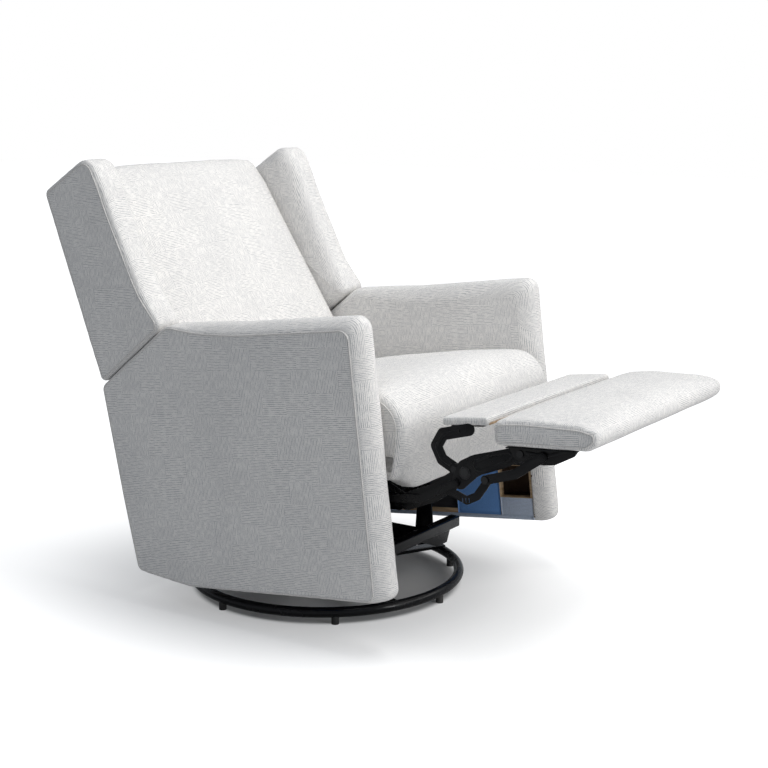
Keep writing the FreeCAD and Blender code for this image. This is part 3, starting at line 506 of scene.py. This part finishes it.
weave, handled = hatchedWeave(), handledSurface()
upholstery, seamCloth, blueLining, railCloth, deckAndShadeCloth = [
    newMaterial(name, weave, dict(Base=ground, Thread=thread, Strength=strength), relief,
                **{"Specular IOR Level": specular, "Sheen Weight": sheen})
    for name, (ground, thread, strength, relief, specular, sheen) in clothLooks.items()]
glossBlack, stampedSteel, rivetSteel, zincSteel, springSteel, nylon, recessPaintedShade, stapleSteel = [
    newMaterial(name, handled, dict(Base=colour, Dust=dust, DustAmount=amount, Smooth=smooth, Rough=rough,
                                    Grain=grain),
                relief, **{"Metallic": metallic, "Specular IOR Level": specular})
    for name, (colour, dust, amount, smooth, rough, grain, relief, metallic, specular) in coatLooks.items()]
plywood = newMaterial("plywood", plyGrain(), plyLook, (0.3, 0.0004))
print("materials made")


def rearLine(z):  # y of the back's rear face at height z
    return 252.0 + (z - 502.0) * math.tan(backLean)


def leanPoint(z, depth):  # a point that far in front of the back's rear face
    return (rearLine(z) - depth, z)


# Places and insets of rings from low to high: quarter circles at the ends and even steps between.
def ringPlaces(low, high, lowRound, highRound, steps, bendSteps):
    turn = np.linspace(0, math.pi / 2, bendSteps)
    x = np.concatenate([low + lowRound * (1 - np.cos(turn)),
                        np.linspace(low + lowRound, high - highRound, steps)[1:-1],
                        high - highRound * (1 - np.cos(turn[::-1]))])
    return x, np.concatenate([lowRound * (1 - np.sin(turn)), np.zeros(steps - 2),
                              highRound * (1 - np.sin(turn[::-1]))])


# Rings across an arm or wing: a round inner edge, a crown of one minus the share to the power of
# fullness, and a tight edge at the outer seam.
def bandAcross(look):
    inner = look["inner"]
    x, inset = ringPlaces(inner, halfWidth, look["innerRound"], look["seamRound"], 20, 8)
    share = np.abs(2 * (x - inner) / (halfWidth - inner) - 1)
    return np.stack([x, look["crown"] * (1 - share ** look["fullness"]), inset], 1)


# Cloth unevenness: broad ripples everywhere and short puckers within a finger of a seam.
def seamPuckers(seed, size=1.0):
    def bumps(points, edge):
        broad = ripple(points, 210, seed) * 0.9 + ripple(points, 70, seed + 1) * 0.35
        near = np.exp(-edge / 14.0) * (1 - np.exp(-edge / 3.0))
        return size * (broad * smoothStep(0, 30, edge) + ripple(points, 16, seed + 2) * 0.7 * near)
    return bumps


# An arm or a wing for one side, and what is done to its mesh once it is built and once it is dressed; for the
# arms the latter paints the pocket's shade.
def makeSide(kind, side, makeCorners, look, cut=None, paintShade=None):
    label = sideNames[side]
    across = bandAcross(look)
    across[:, 0] *= side
    piece, edges = boxedSolid(kind + "_padding_" + label, makeCorners, across[::side], look["count"],
                              look["centre"], look["puff"], seamPuckers(look["seed"] + side, look["bumps"]))
    if cut:
        cut(piece, side)
    finish(piece, upholstery, look["body"], [kind + "_cover_" + label])
    if paintShade:
        paintShade(piece)
    outer = edges[1] if side > 0 else edges[0]
    welt = tube(kind + "_seam_" + label, onChair(outer), look["welt"], closed=True)
    finish(welt, seamCloth, look["body"])


armLook = dict(top=605.0, bottom=76.0, front=-391.0, inner=armInner, crown=21.0, fullness=2.3, innerRound=17.0,
               seamRound=4.0, puff=3.0, count=420, centre=(-90, 330), seed=11, bumps=1.0, welt=0.0016,
               body="chair", pocket=((-376, 88), (196, 326), 19), hole=((-370, 132), (-292, 204), 47))
diagonalTop = leanPoint(armLook["top"] + 17, 221.5)
diagonalFoot = leanPoint(armLook["top"] - 106, -7.8)


def armCorners(swell):
    top, bottom, front = armLook["top"], armLook["bottom"], armLook["front"]
    return [(front - 1.2 * swell, bottom, 20), (front - swell, top + swell, 24), (-120, top - 4 + swell, 900),
            (-20, top + 1 + 0.8 * swell, 500), (*diagonalTop, 40), (*diagonalFoot, 16), (236, 260, 600),
            (217, 103, 18), (75, bottom, 150)]


# Opens the pocket for the wooden panel on the arm's inner face, and the deeper hole in front.
def cutPocket(piece, side):
    for low, high, depth in (armLook["pocket"], armLook["hole"]):
        low, high = np.array([armInner - 5, *low], float), np.array([armInner + depth, *high], float)
        share = np.array([[x, y, z] for x in (0, 1) for y in (0, 1) for z in (0, 1)], float)
        corners = low + share * (high - low)
        corners[:, 0] *= side
        faces = [(0, 1, 3, 2), (4, 6, 7, 5), (0, 4, 5, 1), (2, 3, 7, 6), (0, 2, 6, 4), (1, 5, 7, 3)]
        cutter = buildMesh("cutter", onChair(corners), faces, smooth=False)
        setAll(piece.modifiers.new("pocket", "BOOLEAN"), operation="DIFFERENCE", solver="EXACT", object=cutter)
        applyModifiers(piece)
        bpy.data.objects.remove(cutter)


# Faces inside the pocket get a very dark board colour in place of the outer cloth: painted shade of the recess.
def paintPocketShade(piece):
    mesh = piece.data
    mesh.materials.append(recessPaintedShade)
    x, y, z = offChair(readAll(mesh.polygons, "center", 3)).T
    (front, bottom), (rear, top), _ = armLook["pocket"]
    inside = ((np.abs(x) > armInner + 0.4) & (np.abs(x) < armInner + armLook["hole"][2] + 1)
              & (y > front - 1) & (y < rear + 1) & (z > bottom - 1) & (z < top + 1))
    mesh.polygons.foreach_set("material_index", inside.astype(int))


wingLook = dict(top=977.0, gap=3.0, inner=wingInner, crown=8.0, fullness=4, innerRound=26.0, seamRound=7.0,
                puff=3.0, count=300, centre=(232, 740), seed=31, bumps=0.8, welt=0.0016, body="back")


def diagonalPoint(share, out):  # a point along the arm's sloping rear edge, by out above it
    dy, dz = diagonalFoot[0] - diagonalTop[0], diagonalFoot[1] - diagonalTop[1]
    length = math.hypot(dy, dz)
    return (diagonalTop[0] + share * dy - dz / length * out, diagonalTop[1] + share * dz + dy / length * out)


def wingCorners(swell):
    top, gap = wingLook["top"], wingLook["gap"]
    return [(*diagonalPoint(0.06, gap), 20), (*diagonalPoint(0.99, gap), 12), (*leanPoint(top - 63, -1), 16),
            (*leanPoint(top + 2 + 0.5 * swell, 153 + 0.3 * swell), 36),
            (*leanPoint(top - 60, 160 + swell), 300), (*leanPoint(top - 119, 161.5 + swell), 700),
            (*leanPoint(armLook["top"] + 85, 177.5 + swell), 200)]


for side in (-1, 1):
    makeSide("arm", side, armCorners, armLook, cutPocket, paintPocketShade)
print("arms made")
for side in (-1, 1):
    makeSide("wing", side, wingCorners, wingLook)
print("wings made")


# Rings across a cushion: a crown of one minus the square of the share, sides drawn in by its twelfth
# power, and a round edge.
def crownAcross(look):
    half = look["half"]
    x, inset = ringPlaces(-half, half, look["edgeRound"], look["edgeRound"], look.get("steps", 44), 7)
    share = np.abs(x) / half
    return np.stack([x, look["crown"] * (1 - share ** 2) - look["drawnIn"] * share ** 12, inset], 1)


puffLook = dict(pressure=4.0, frames=20, quality=4, mass=0.3, stiffness=20, bending=1.5)  # of the cloth runs


# Remeshes a cushion evenly, blows it up a little as cloth and keeps each move under cap, as cap times
# the hyperbolic tangent of the move over cap. held(points) is one where the cloth may not move.
def puffUp(piece, voxel, cap, held):
    setAll(piece.modifiers.new("even", "REMESH"), mode="VOXEL", voxel_size=voxel)
    applyModifiers(piece)
    start = readAll(piece.data.vertices, "co", 3)
    weights = held(offChair(start))
    pinned = piece.vertex_groups.new(name="held")
    for level in np.linspace(0.1, 1.0, 10):
        chosen = np.nonzero(np.abs(weights - level) <= 0.05)[0]
        pinned.add(chosen.tolist(), float(level), "REPLACE")
    cloth = piece.modifiers.new("cloth", "CLOTH")
    setAll(cloth.settings, quality=puffLook["quality"], mass=puffLook["mass"],
           tension_stiffness=puffLook["stiffness"], compression_stiffness=puffLook["stiffness"],
           bending_stiffness=puffLook["bending"], use_pressure=True,
           uniform_pressure_force=puffLook["pressure"], vertex_group_mass="held")
    cloth.settings.effector_weights.gravity = 0
    cloth.collision_settings.use_collision = False
    setAll(cloth.point_cache, frame_start=1, frame_end=puffLook["frames"])
    for step in range(puffLook["frames"]):
        bpy.context.scene.frame_set(step + 1)
    shown = piece.evaluated_get(bpy.context.evaluated_depsgraph_get())
    move = readAll(shown.data.vertices, "co", 3) - start
    length = np.linalg.norm(move, axis=1)[:, None] + 1e-12
    move *= cap * np.tanh(length / cap) / length
    piece.modifiers.clear()
    bpy.context.scene.frame_set(1)
    piece.data.vertices.foreach_set("co", (start + move).ravel())
    piece.vertex_groups.clear()
    setAll(piece.modifiers.new("finer", "SUBSURF"), levels=1, render_levels=1)
    applyModifiers(piece)
    piece.data.polygons.foreach_set("use_smooth", np.ones(len(piece.data.polygons), bool))
    print(piece.name, "cloth", len(start), "points, largest move mm", round(float(length.max()) * 1000, 1))


# Gives a cushion its cloth map: across by the running length along the outline, from the nearest
# point of its most swelled ring, and the side view on its side panels.
def laidCloth(piece, makeCorners, swells):
    mesh = piece.data
    points = offChair(readAll(mesh.vertices, "co", 3))
    ring = outlineRings(makeCorners, swells, 400)[int(np.argmax(swells))]
    along = lengthsAlong(ring)
    total = along[-1] + np.linalg.norm(ring[0] - ring[-1])
    tangent = np.roll(ring, -1, 0) - np.roll(ring, 1, 0)
    spacing = np.linalg.norm(tangent, axis=1)[:, None] / 2
    tangent /= 2 * spacing
    place = np.zeros(len(points))
    for part in np.array_split(np.arange(len(points)), max(1, len(points) // 8000)):
        nearest = ((points[part, None, 1:] - ring[None]) ** 2).sum(2).argmin(1)
        beyond = ((points[part, 1:] - ring[nearest]) * tangent[nearest]).sum(1)
        reach = 0.6 * spacing[nearest, 0]
        place[part] = along[nearest] + np.clip(beyond, -reach, reach)
    corner = readAll(mesh.loops, "vertex_index", kind=int)
    starts = readAll(mesh.polygons, "loop_start", kind=int)
    owner = np.searchsorted(starts, np.arange(len(corner)), side="right") - 1
    onSide = np.abs(readAll(mesh.polygons, "normal", 3)[owner, 0]) > 0.75
    place = place[corner]
    place = place + total * np.round((place[starts[owner]] - place) / total)  # no jump where the ring closes
    cloth = np.stack([points[corner, 0], place], 1)
    cloth[onSide] = points[corner[onSide]][:, 1:]
    layer = mesh.uv_layers.get("weave") or mesh.uv_layers.new(name="weave")
    layer.data.foreach_set("uv", (cloth * 0.001).ravel())


# A cushion, pad or covered panel from its outline and look.
def makeSewn(name, node, makeCorners, look, held=None, material=upholstery):
    across = crownAcross(look)
    bumps = seamPuckers(look["seed"], look["bumps"]) if "seed" in look else None
    piece, edges = boxedSolid(name, makeCorners, across, look["count"], look["centre"], look["puff"], bumps,
                              look.get("rings", 16))
    if held:
        puffUp(piece, look["voxel"], look["cap"], held)
    laidCloth(piece, makeCorners, across[:, 1])
    finish(piece, material, look["body"], [node])
    return piece, edges


seatLook = dict(top=468.0, front=-449.0, rear=48.0, lip=-372.0, lipBottom=298.0, lipDrop=28.0, base=342.5,
                half=armInner - 4, crown=16.0, drawnIn=8.0, edgeRound=13.0, count=260, centre=(-200, 400),
                puff=1.5, seed=51, bumps=1.0, voxel=0.0075, cap=0.008, fill=0.7, body="chair",
                seam=0.0014, staples=(312, 372, 9.5), stapleWire=0.0006)


def seatCorners(swell):
    top, front, rear, lip = (seatLook[key] for key in ("top", "front", "rear", "lip"))
    bottom, base = seatLook["lipBottom"], seatLook["base"]
    drop = seatLook["lipDrop"] * min(max(swell / 7, 0), 1)
    return [(rear, base, 10), (rear, top - 16, 24), (-110, top - 3 + swell, 500),
            (-300, top + 6 + swell, 400), (front + 47, top + 9 + 0.7 * swell, 60),
            (front - 0.7 * swell, top - 48, 75), (front + 18 - 0.7 * swell, top - 130, 120),
            (front + 36, bottom - drop, 12), (lip, bottom - drop, 8), (lip + 5, base, 6)]


def seatHeld(points):
    half = seatLook["half"]
    return np.maximum.reduce([smoothStep(375, 345, points[:, 2]), smoothStep(-20, 45, points[:, 1]),
                              smoothStep(half - 25, half - 8, np.abs(points[:, 0]))])


# A seam along each side of the seat's top and front, with small staples near its lower front.
def seatSeams(edges):
    for edge, side in zip(edges, (-1, 1)):
        front = edge[(edge[:, 2] > 345) & (edge[:, 1] < 40) | (edge[:, 1] < -400) & (edge[:, 2] > 300)]
        front = front[np.argsort(np.arctan2(front[:, 2] - 380, front[:, 1] + 200))]
        front[:, 0] += side * 0.3
        label = sideNames[side]
        finish(tube("seat_seam_" + label, onChair(front), seatLook["seam"]), seamCloth, "chair")
        low = front[front[:, 1] < -405]
        staples = []
        for z in np.arange(*seatLook["staples"]):
            spot = low[np.abs(low[:, 2] - z).argmin()] - [side * 2.0, 0.8, 0]
            ends = np.array([spot - [0, 0, 2.6], spot + [0, 0, 2.6]])
            staples.append(tube("staple", onChair(ends), seatLook["stapleWire"], sides=6))
        finish(join("seat_staples_" + label, staples), stapleSteel, "chair")


backLook = dict(half=wingInner - 0.5, crown=24.0, drawnIn=8.0, edgeRound=16.0, deep=28.4, panel=6.0,
                frameTop=887.0, count=260, centre=(215, 700), puff=0.3, seed=61, bumps=1.0, voxel=0.0075,
                cap=0.008, fill=0.7, body="back")


def backCorners(swell):
    seatTop, top, deep = seatLook["top"], wingLook["top"], backLook["deep"]
    frameTop, panel = backLook["frameTop"], backLook["panel"]
    return [(*leanPoint(seatTop - 10, 194.5), 20),
            (*leanPoint(seatTop + 92 + 0.4 * swell, 162 + 0.8 * swell), 250),
            (*leanPoint(top - 235 + 0.5 * swell, 118 + swell), 500),
            (*leanPoint(top - 78 + 0.4 * swell, 82 + 0.7 * swell), 160),
            (*leanPoint(top - 15 + 0.45 * swell, 54), 28), (*leanPoint(top - 50, panel + 4), 12),
            (*leanPoint(frameTop + 6, panel + 1), 3), (*leanPoint(frameTop + 2, deep), 3),
            (*leanPoint(seatTop - 28, deep), 10)]


def backHeld(points):
    half = backLook["half"]
    depth = rearLine(points[:, 2]) - points[:, 1]
    return np.maximum.reduce([smoothStep(50, 32, depth), smoothStep(480, 465, points[:, 2]),
                              smoothStep(half - 28, half - 8, np.abs(points[:, 0]))])


# The outer back and the lower back, in cloth pulled over thin board, and the seat's black deck.
flatLook = dict(crown=0.0, drawnIn=0.0, steps=60)
outerLook = dict(flatLook, half=wingInner - 0.5, edgeRound=2.0, count=260, centre=(303, 670), puff=0.2, rings=5,
                 fill=0.9, body="back")
lowerLook = dict(outerLook, half=armInner - 1.2, centre=(227, 251), body="chair")
deckLook = dict(flatLook, half=286, edgeRound=0.5, count=200, centre=(-150, 340.85), puff=0.1, rings=4,
                body="chair")


def outerCorners(swell):
    low, high = 438.0, wingLook["top"] - 72
    return [(*leanPoint(z, depth), 2) for z, depth in ((low, 0), (high, 0), (high, 5.6), (low, 5.6))]


def lowerCorners(swell):
    return [(233.2, 336, 2), (239, 337, 2), (222, 165, 2), (216.2, 165, 2)]


def deckCorners(swell):
    return [(-361, 340.1, 0.6), (61, 340.1, 0.6), (61, 341.6, 0.6), (-361, 341.6, 0.6)]


flapLook = dict(high=437.6, low=331.0, half=262.0, depth=2.4, wave=0.5, thick=1.0, rows=30, columns=90)


# A cloth flap that hangs from the outer back's lower edge and closes the gap above the lower back.
def makeFlap():
    high, low, half = flapLook["high"], flapLook["low"], flapLook["half"]
    x, z = np.meshgrid(np.linspace(-half, half, flapLook["columns"]), np.linspace(low, high, flapLook["rows"]))
    loose = ripple(np.stack([x, 0 * x, z], 2), 110, 97) * smoothStep(high, high - 40, z)
    y = rearLine(z) - flapLook["depth"] - flapLook["wave"] * loose
    piece = thinSheet("back_flap", np.stack([x, y, z], 2), np.stack([x, y + flapLook["thick"], z], 2), [0, 2])
    finish(piece, upholstery, "back")


# Each lining's cloth and its lowest and highest y and z, and the rolled hem along the pocket's foot.
linerLook = {"arm_liner_": (blueLining, (-291, 89), (-176, 325)),
             "arm_strip_": (railCloth, (-375, 89), (-292.5, 130)),
             # The two dark linings are painted shade over the board in the pocket.
             "arm_shade_lining_": (deckAndShadeCloth, (-175, 100), (195, 325)),
             "arm_upper_shade_lining_": (deckAndShadeCloth, (-375, 206), (-292.5, 325))}
linerCloth = dict(wave=0.15, thick=0.6, steps=24)
hemLook = dict(front=-374, rear=60, height=85.5, radius=0.0062, steps=60)


# Thin linings stapled over the inner board behind the pocket; the two in dark cloth are painted shade of the
# pocket.
def makeLiners(side):
    label, steps = sideNames[side], linerCloth["steps"]
    for name, (cloth, low, high) in linerLook.items():
        y, z = np.meshgrid(np.linspace(low[0], high[0], steps), np.linspace(low[1], high[1], steps))
        wave = linerCloth["wave"] * ripple(np.stack([0 * y, y, z], 2), 45, 90 + side)
        x = armInner + linerCloth["wave"] + wave
        piece = thinSheet(name + label, np.stack([side * x, y, z], 2),
                          np.stack([side * (x + linerCloth["thick"]), y, z], 2), [1, 2])
        finish(piece, cloth, "chair")
    y = np.linspace(hemLook["front"], hemLook["rear"], hemLook["steps"])
    hem = np.stack([0 * y + side * (armInner + 6), y, 0 * y + hemLook["height"]], 1)
    finish(tube("arm_hem_" + label, onChair(hem), hemLook["radius"], sides=14), railCloth, "chair")


seatSeams(makeSewn("seat_padding", "seat_cushion", seatCorners, seatLook, seatHeld)[1])
makeSewn("back_padding", "back_cushion", backCorners, backLook, backHeld)
makeSewn("back_panel_cloth", "back_outer_panel", outerCorners, outerLook)
makeSewn("lower_panel_cloth", "lower_back_panel", lowerCorners, lowerLook)
deck = makeSewn("seat_deck_cloth", "seat_deck", deckCorners, deckLook, material=deckAndShadeCloth)[0]
makeFlap()
for side in (-1, 1):
    makeLiners(side)
print("seat and back made")


padLook = dict(rear=-632.0, base=372.0, slope=math.radians(2.8), depth=212.0, thick=46.0, half=armInner - 7,
               crown=3.0, drawnIn=3.0, edgeRound=9.0, count=180, centre=(-735, 392), puff=2.0, seed=71,
               bumps=0.7, rings=8, voxel=0.006, cap=0.006, fill=0.8, body="footrest", seam=0.0012)


def padPoint(along, up):  # on the pad's slope, from its rear lower edge
    a = padLook["slope"]
    return (padLook["rear"] - along * math.cos(a) - up * math.sin(a),
            padLook["base"] - along * math.sin(a) + up * math.cos(a))


def padCorners(swell):
    deep, thick = padLook["depth"], padLook["thick"]
    places = [(0.6 - 0.4 * swell, 0, 9), (0.6 - 0.4 * swell, thick + 3 + 0.4 * swell, 16),
              (deep * 0.3, thick + 9 + swell, 260), (deep * 0.85, thick + 4 + 0.8 * swell, 90),
              (deep + 4 + 0.5 * swell, thick - 8, 20), (deep + 2 + 0.4 * swell, 14, 16), (deep - 20, 0, 14)]
    return [(*padPoint(along, up), radius) for along, up, radius in places]


def padHeld(points):
    a, half = padLook["slope"], padLook["half"]
    up = (points[:, 2] - padLook["base"]) * math.cos(a) - (points[:, 1] - padLook["rear"]) * math.sin(a)
    return np.maximum(smoothStep(16, 4, up), smoothStep(half - 18, half - 6, np.abs(points[:, 0])))


middleLook = dict(rear=-606.0, low=403.4, high=421.5, half=261.0, crown=2.0, drawnIn=2.0, edgeRound=5.0,
                  count=120, centre=(-563, 412), puff=0.8, seed=81, bumps=0.5, rings=6, fill=0.6,
                  body="middle_footrest")


def middleCorners(swell):
    y0, y1, low, high = middleLook["rear"] - 2, middleLook["rear"] + 98, middleLook["low"], middleLook["high"]
    return [(y1, low, 5), (y1 - 1, high - 2, 7), (y0 / 2 + y1 / 2, high + swell, 200), (y0 + 1, high - 2, 7),
            (y0, low, 5)]


padEdges = makeSewn("footrest_padding", "footrest_pad", padCorners, padLook, padHeld)[1]
for edge, side in zip(padEdges, (-1, 1)):
    seam = tube("footrest_seam_" + sideNames[side], onChair(edge), padLook["seam"], closed=True)
    finish(seam, seamCloth, "footrest")
makeSewn("middle_padding", "middle_pad", middleCorners, middleLook)
print("footrest pads made")


# The arm panels' rear lower corners are trimmed along this line in the side view, above it by inset.
trimLook = dict(front=(75, 76), rear=(217, 103), inset=3)


def trimPanels(made):
    front, rear = np.array([0.0, *trimLook["front"]]), np.array([0.0, *trimLook["rear"]])
    up = np.array([0.0, front[2] - rear[2], rear[1] - front[1]])
    cut = bmesh.ops.bisect_plane(made, geom=made.verts[:] + made.edges[:] + made.faces[:],
                                 plane_co=onChair(front + up / np.linalg.norm(up) * trimLook["inset"]),
                                 plane_no=onChair(front + up) - onChair(front), clear_inner=True)
    edges = [item for item in cut["geom_cut"] if isinstance(item, bmesh.types.BMEdge)]
    bmesh.ops.holes_fill(made, edges=edges)


edgeLook = dict(segments=2, bevelled=34, sharp=38, merged=1e-5, flat=0.8)


# A copy of a frame piece with its flat faces merged and its edges rounded by width, in metres.
def dressed(node, material, body, width):
    made = bmesh.new()
    made.from_mesh(nodes[node].data)
    bmesh.ops.remove_doubles(made, verts=made.verts, dist=edgeLook["merged"])
    if node == "arm_panels":
        trimPanels(made)
    bmesh.ops.dissolve_limit(made, angle_limit=math.radians(edgeLook["flat"]), verts=made.verts,
                             edges=made.edges)
    mesh = bpy.data.meshes.new(node + "_dressed")
    made.to_mesh(mesh)
    made.free()
    piece = placeMesh(node + "_dressed", mesh)
    setAll(piece.modifiers.new("rounded", "BEVEL"), width=width, segments=edgeLook["segments"],
           limit_method="ANGLE", angle_limit=math.radians(edgeLook["bevelled"]))
    applyModifiers(piece)
    piece.data.polygons.foreach_set("use_smooth", np.ones(len(piece.data.polygons), bool))
    piece.data.update()
    piece.data.set_sharp_from_angle(angle=math.radians(edgeLook["sharp"]))
    finish(piece, material, body, [node])


# Frame pieces by slot and body, each with the rounding of its edges in millimetres.
dressedNodes = [
    ("black_steel", "base", dict(base_cross=0.8, hub_plate=0.8)),
    ("black_steel", "swivel", dict(swivel_plate=0.6, glider_rails=1.2, glider_posts=0.6, glider_cross_front=0.3,
                                   glider_cross_rear=0.3, glider_gussets=0.6)),
    ("linkage_steel", "front_glider_links", dict(glider_front_links=0.6)),
    ("linkage_steel", "rear_glider_links", dict(glider_rear_links=0.6)),
    ("linkage_steel", "chair", dict(chassis_hangers=0.6, chassis_tubes=0.4, chassis_plate_left=0.6,
                                    chassis_plate_right=0.6)),
    ("plywood", "chair", dict(seat_frame=1.2, arm_panels=0.8, rear_rail=1.2)),
    ("plywood", "back", dict(back_frame=1.2)),
    ("linkage_steel", "back", dict(recline_brackets=0.5)),
    *[("linkage_steel", link + "_links", {link + "_link_left": 0.6, link + "_link_right": 0.6})
      for link in ("drive", "carrier", "lower", "control")],
    ("linkage_steel", "footrest", dict(footrest_brackets=0.5)),
    ("linkage_steel", "middle_footrest", dict(goosenecks=0.6)),
]
slotLooks = dict(black_steel=glossBlack, linkage_steel=stampedSteel, plywood=plywood)
for slot, body, widths in dressedNodes:
    for node, width in widths.items():
        dressed(node, slotLooks[slot], body, width / 1000)
for material, names in (
        (glossBlack, ["ring_tube"]), (nylon, ["foot_glides"]), (springSteel, ["seat_springs", "back_springs"]),
        (zincSteel, ["bearing_lower_race", "bearing_balls", "swivel_bolt", "bearing_upper_race",
                     "chassis_bolts"]),
        (rivetSteel, ["glider_upper_pins", "glider_lower_pins", "recline_pins", "footrest_pivots",
                      "drive_rivets", "carrier_rivets"]),
        (stampedSteel, ["torque_tube"]), (plywood, ["wing_boards", "footrest_board", "middle_board"])):
    for node in names:
        nodes[node].data.materials.clear()
        nodes[node].data.materials.append(material)
print("steel and wood dressed")


# Each body's ribs: how far their middle is from the link layer's middle, their lines in the side
# view, and half their width. They stand out of the links' outer faces.
plateX = armInner - 30
ribLook = {
    "drive_links": (-2, [[(-352, 294), (-385, 273), (-418, 255), (-470, 270), (-505, 288),
                          (-530, 300)]], 0.0042),
    "carrier_links": (3, [[(-580, 338), (-620, 352), (-655, 357), (-664, 350), (-650, 340), (-618, 328),
                           (-585, 320), (-576, 328), (-580, 338)], [(-534, 296), (-544, 304)]], 0.0030),
    "footrest": (8, [[(-692, 358), (-735, 352), (-790, 366)]], 0.0034),
    "middle_footrest": (-7, [[(-520, 328), (-501, 340), (-492, 363), (-508, 385), (-545, 393)]], 0.0040),
}
washerLook = dict(out=3.2, centre=(-556, 315), radius=10.5, wire=0.0016, steps=36)


# A rib is a flattened tube along its line, whose corners three passes of quarter, half and quarter
# weights have rounded.
def makeRibs(body, side):
    out, paths, radius = ribLook[body]
    parts = []
    for path in paths:
        path = np.array(path, float)
        along = lengthsAlong(path)
        fine = np.linspace(0, along[-1], 48)
        line = np.stack([np.full(48, side * (plateX + out)), np.interp(fine, along, path[:, 0]),
                         np.interp(fine, along, path[:, 1])], 1)
        for _ in range(3):
            line[1:-1] = (line[:-2] + 2 * line[1:-1] + line[2:]) / 4
        parts.append(tube("rib", onChair(line), radius, sides=10, flat=0.42))
    finish(join(body + "_ribs_" + sideNames[side], parts), stampedSteel, body)


def makeWasher(side):  # the broad washer of the scissor rivet
    angle = np.linspace(0, 2 * math.pi, washerLook["steps"], endpoint=False)
    (y, z), radius = washerLook["centre"], washerLook["radius"]
    ring = np.stack([0 * angle + side * (plateX + washerLook["out"]), y + radius * np.cos(angle),
                     z + radius * np.sin(angle)], 1)
    washer = tube("scissor_washer_" + sideNames[side], onChair(ring), washerLook["wire"], closed=True)
    finish(washer, rivetSteel, "carrier_links")


for body in ribLook:
    for side in (-1, 1):
        makeRibs(body, side)
for side in (-1, 1):
    makeWasher(side)
print("ribs made")


# The floor's grey takes the lamps' shadow, and its glow, which only the camera sees, rises from a step at the
# base ring to white further out, so the dim disc under the chair is painted shadow.
# Each glow is (near, far, from, to) by distance in metres.
stageLook = dict(half=14, grey=0.62, roughness=0.9, paintedShadowGlows=[(0.285, 0.305, 0.02, 0.34), (0.30, 0.80, 0.0, 0.42)])
lightLook = dict(sky=(0.86, 0.92, 1.0, 1), skyStrength=0.39, sun=1.25, sunAngle=50, sunColour=(1.0, 0.98, 0.95),
                 sunAim=(-0.42, 0.60, -0.68),
                 boxes={"overhead": (20, (0.5, 1.6), (-0.12, -0.75, 2.3), (0.25, -0.25, 0.5)),
                        "front": (19, (0.5, 1.0), (-0.10, -3.2, 0.9), (0.0, 0.0, 0.5))})
cameraLook = dict(place=(-2.6812, -1.9394, 1.0989), azimuth=-56.343, elevation=11.187, lens=72.13, sensor=36)


def makeStage():
    half = stageLook["half"]
    floor = buildMesh("floor", [[-half, -half, 0], [half, -half, 0], [half, half, 0], [-half, half, 0]],
                      [(0, 1, 2, 3)], smooth=False)
    surface = bpy.data.materials.new("paleFloor")
    surface.use_nodes = True
    tree = surface.node_tree
    shader = tree.nodes["Principled BSDF"]
    shader.inputs["Base Color"].default_value = (*[stageLook["grey"]] * 3, 1)
    shader.inputs["Roughness"].default_value = stageLook["roughness"]
    shader.inputs["Specular IOR Level"].default_value = 0.0
    shader.inputs["Emission Color"].default_value = (1, 1, 1, 1)
    distance = newNode(tree, "ShaderNodeVectorMath", operation="LENGTH")
    plug(tree, newNode(tree, "ShaderNodeTexCoord").outputs["Object"], distance.inputs[0])
    # The glow stays low inside the base ring and fades in outside it: painted shadow under the chair.
    near, far = [spread(tree, distance.outputs["Value"], *glow) for glow in stageLook["paintedShadowGlows"]]
    seen = newNode(tree, "ShaderNodeLightPath").outputs["Is Camera Ray"]
    plug(tree, times(tree, seen, plus(tree, near, far)), shader.inputs["Emission Strength"])
    floor.data.materials.append(surface)


def placeAimed(name, data, place, aim):  # a lamp or camera at place, looking along aim
    item = bpy.data.objects.new(name, data)
    item.location = place
    item.rotation_euler = Vector(aim).to_track_quat("-Z", "Y").to_euler()
    bpy.context.scene.collection.objects.link(item)
    return item


def makeLight():
    world = bpy.data.worlds.new("studio")
    bpy.context.scene.world = world
    world.use_nodes = True
    tree = world.node_tree
    tree.nodes.clear()
    mix = newNode(tree, "ShaderNodeMixShader")
    plug(tree, newNode(tree, "ShaderNodeLightPath").outputs["Is Camera Ray"], mix.inputs[0])
    for index, colour, strength in ((1, lightLook["sky"], lightLook["skyStrength"]), (2, (1, 1, 1, 1), 1.0)):
        background = newNode(tree, "ShaderNodeBackground")
        background.inputs["Color"].default_value = colour
        background.inputs["Strength"].default_value = strength
        plug(tree, background.outputs[0], mix.inputs[index])
    plug(tree, mix.outputs[0], newNode(tree, "ShaderNodeOutputWorld").inputs[0])
    sun = setAll(bpy.data.lights.new("window", "SUN"), energy=lightLook["sun"],
                 angle=math.radians(lightLook["sunAngle"]), color=lightLook["sunColour"])
    placeAimed("window", sun, (0, 0, 0), lightLook["sunAim"])
    for name, (energy, size, place, aim) in lightLook["boxes"].items():
        light = setAll(bpy.data.lights.new(name, "AREA"), shape="RECTANGLE", size=size[0], size_y=size[1],
                       energy=energy)
        placeAimed(name, light, place, Vector(aim) - Vector(place))


def makeCamera():
    camera = setAll(bpy.data.cameras.new("camera"), lens=cameraLook["lens"], sensor_width=cameraLook["sensor"])
    a, e = math.radians(cameraLook["azimuth"]), math.radians(cameraLook["elevation"])
    aim = (-math.sin(a) * math.cos(e), math.cos(a) * math.cos(e), -math.sin(e))
    bpy.context.scene.camera = placeAimed("camera", camera, cameraLook["place"], aim)


makeStage()
makeLight()
makeCamera()
print("floor, light and camera made")
bpy.context.scene.view_settings.view_transform = "Standard"
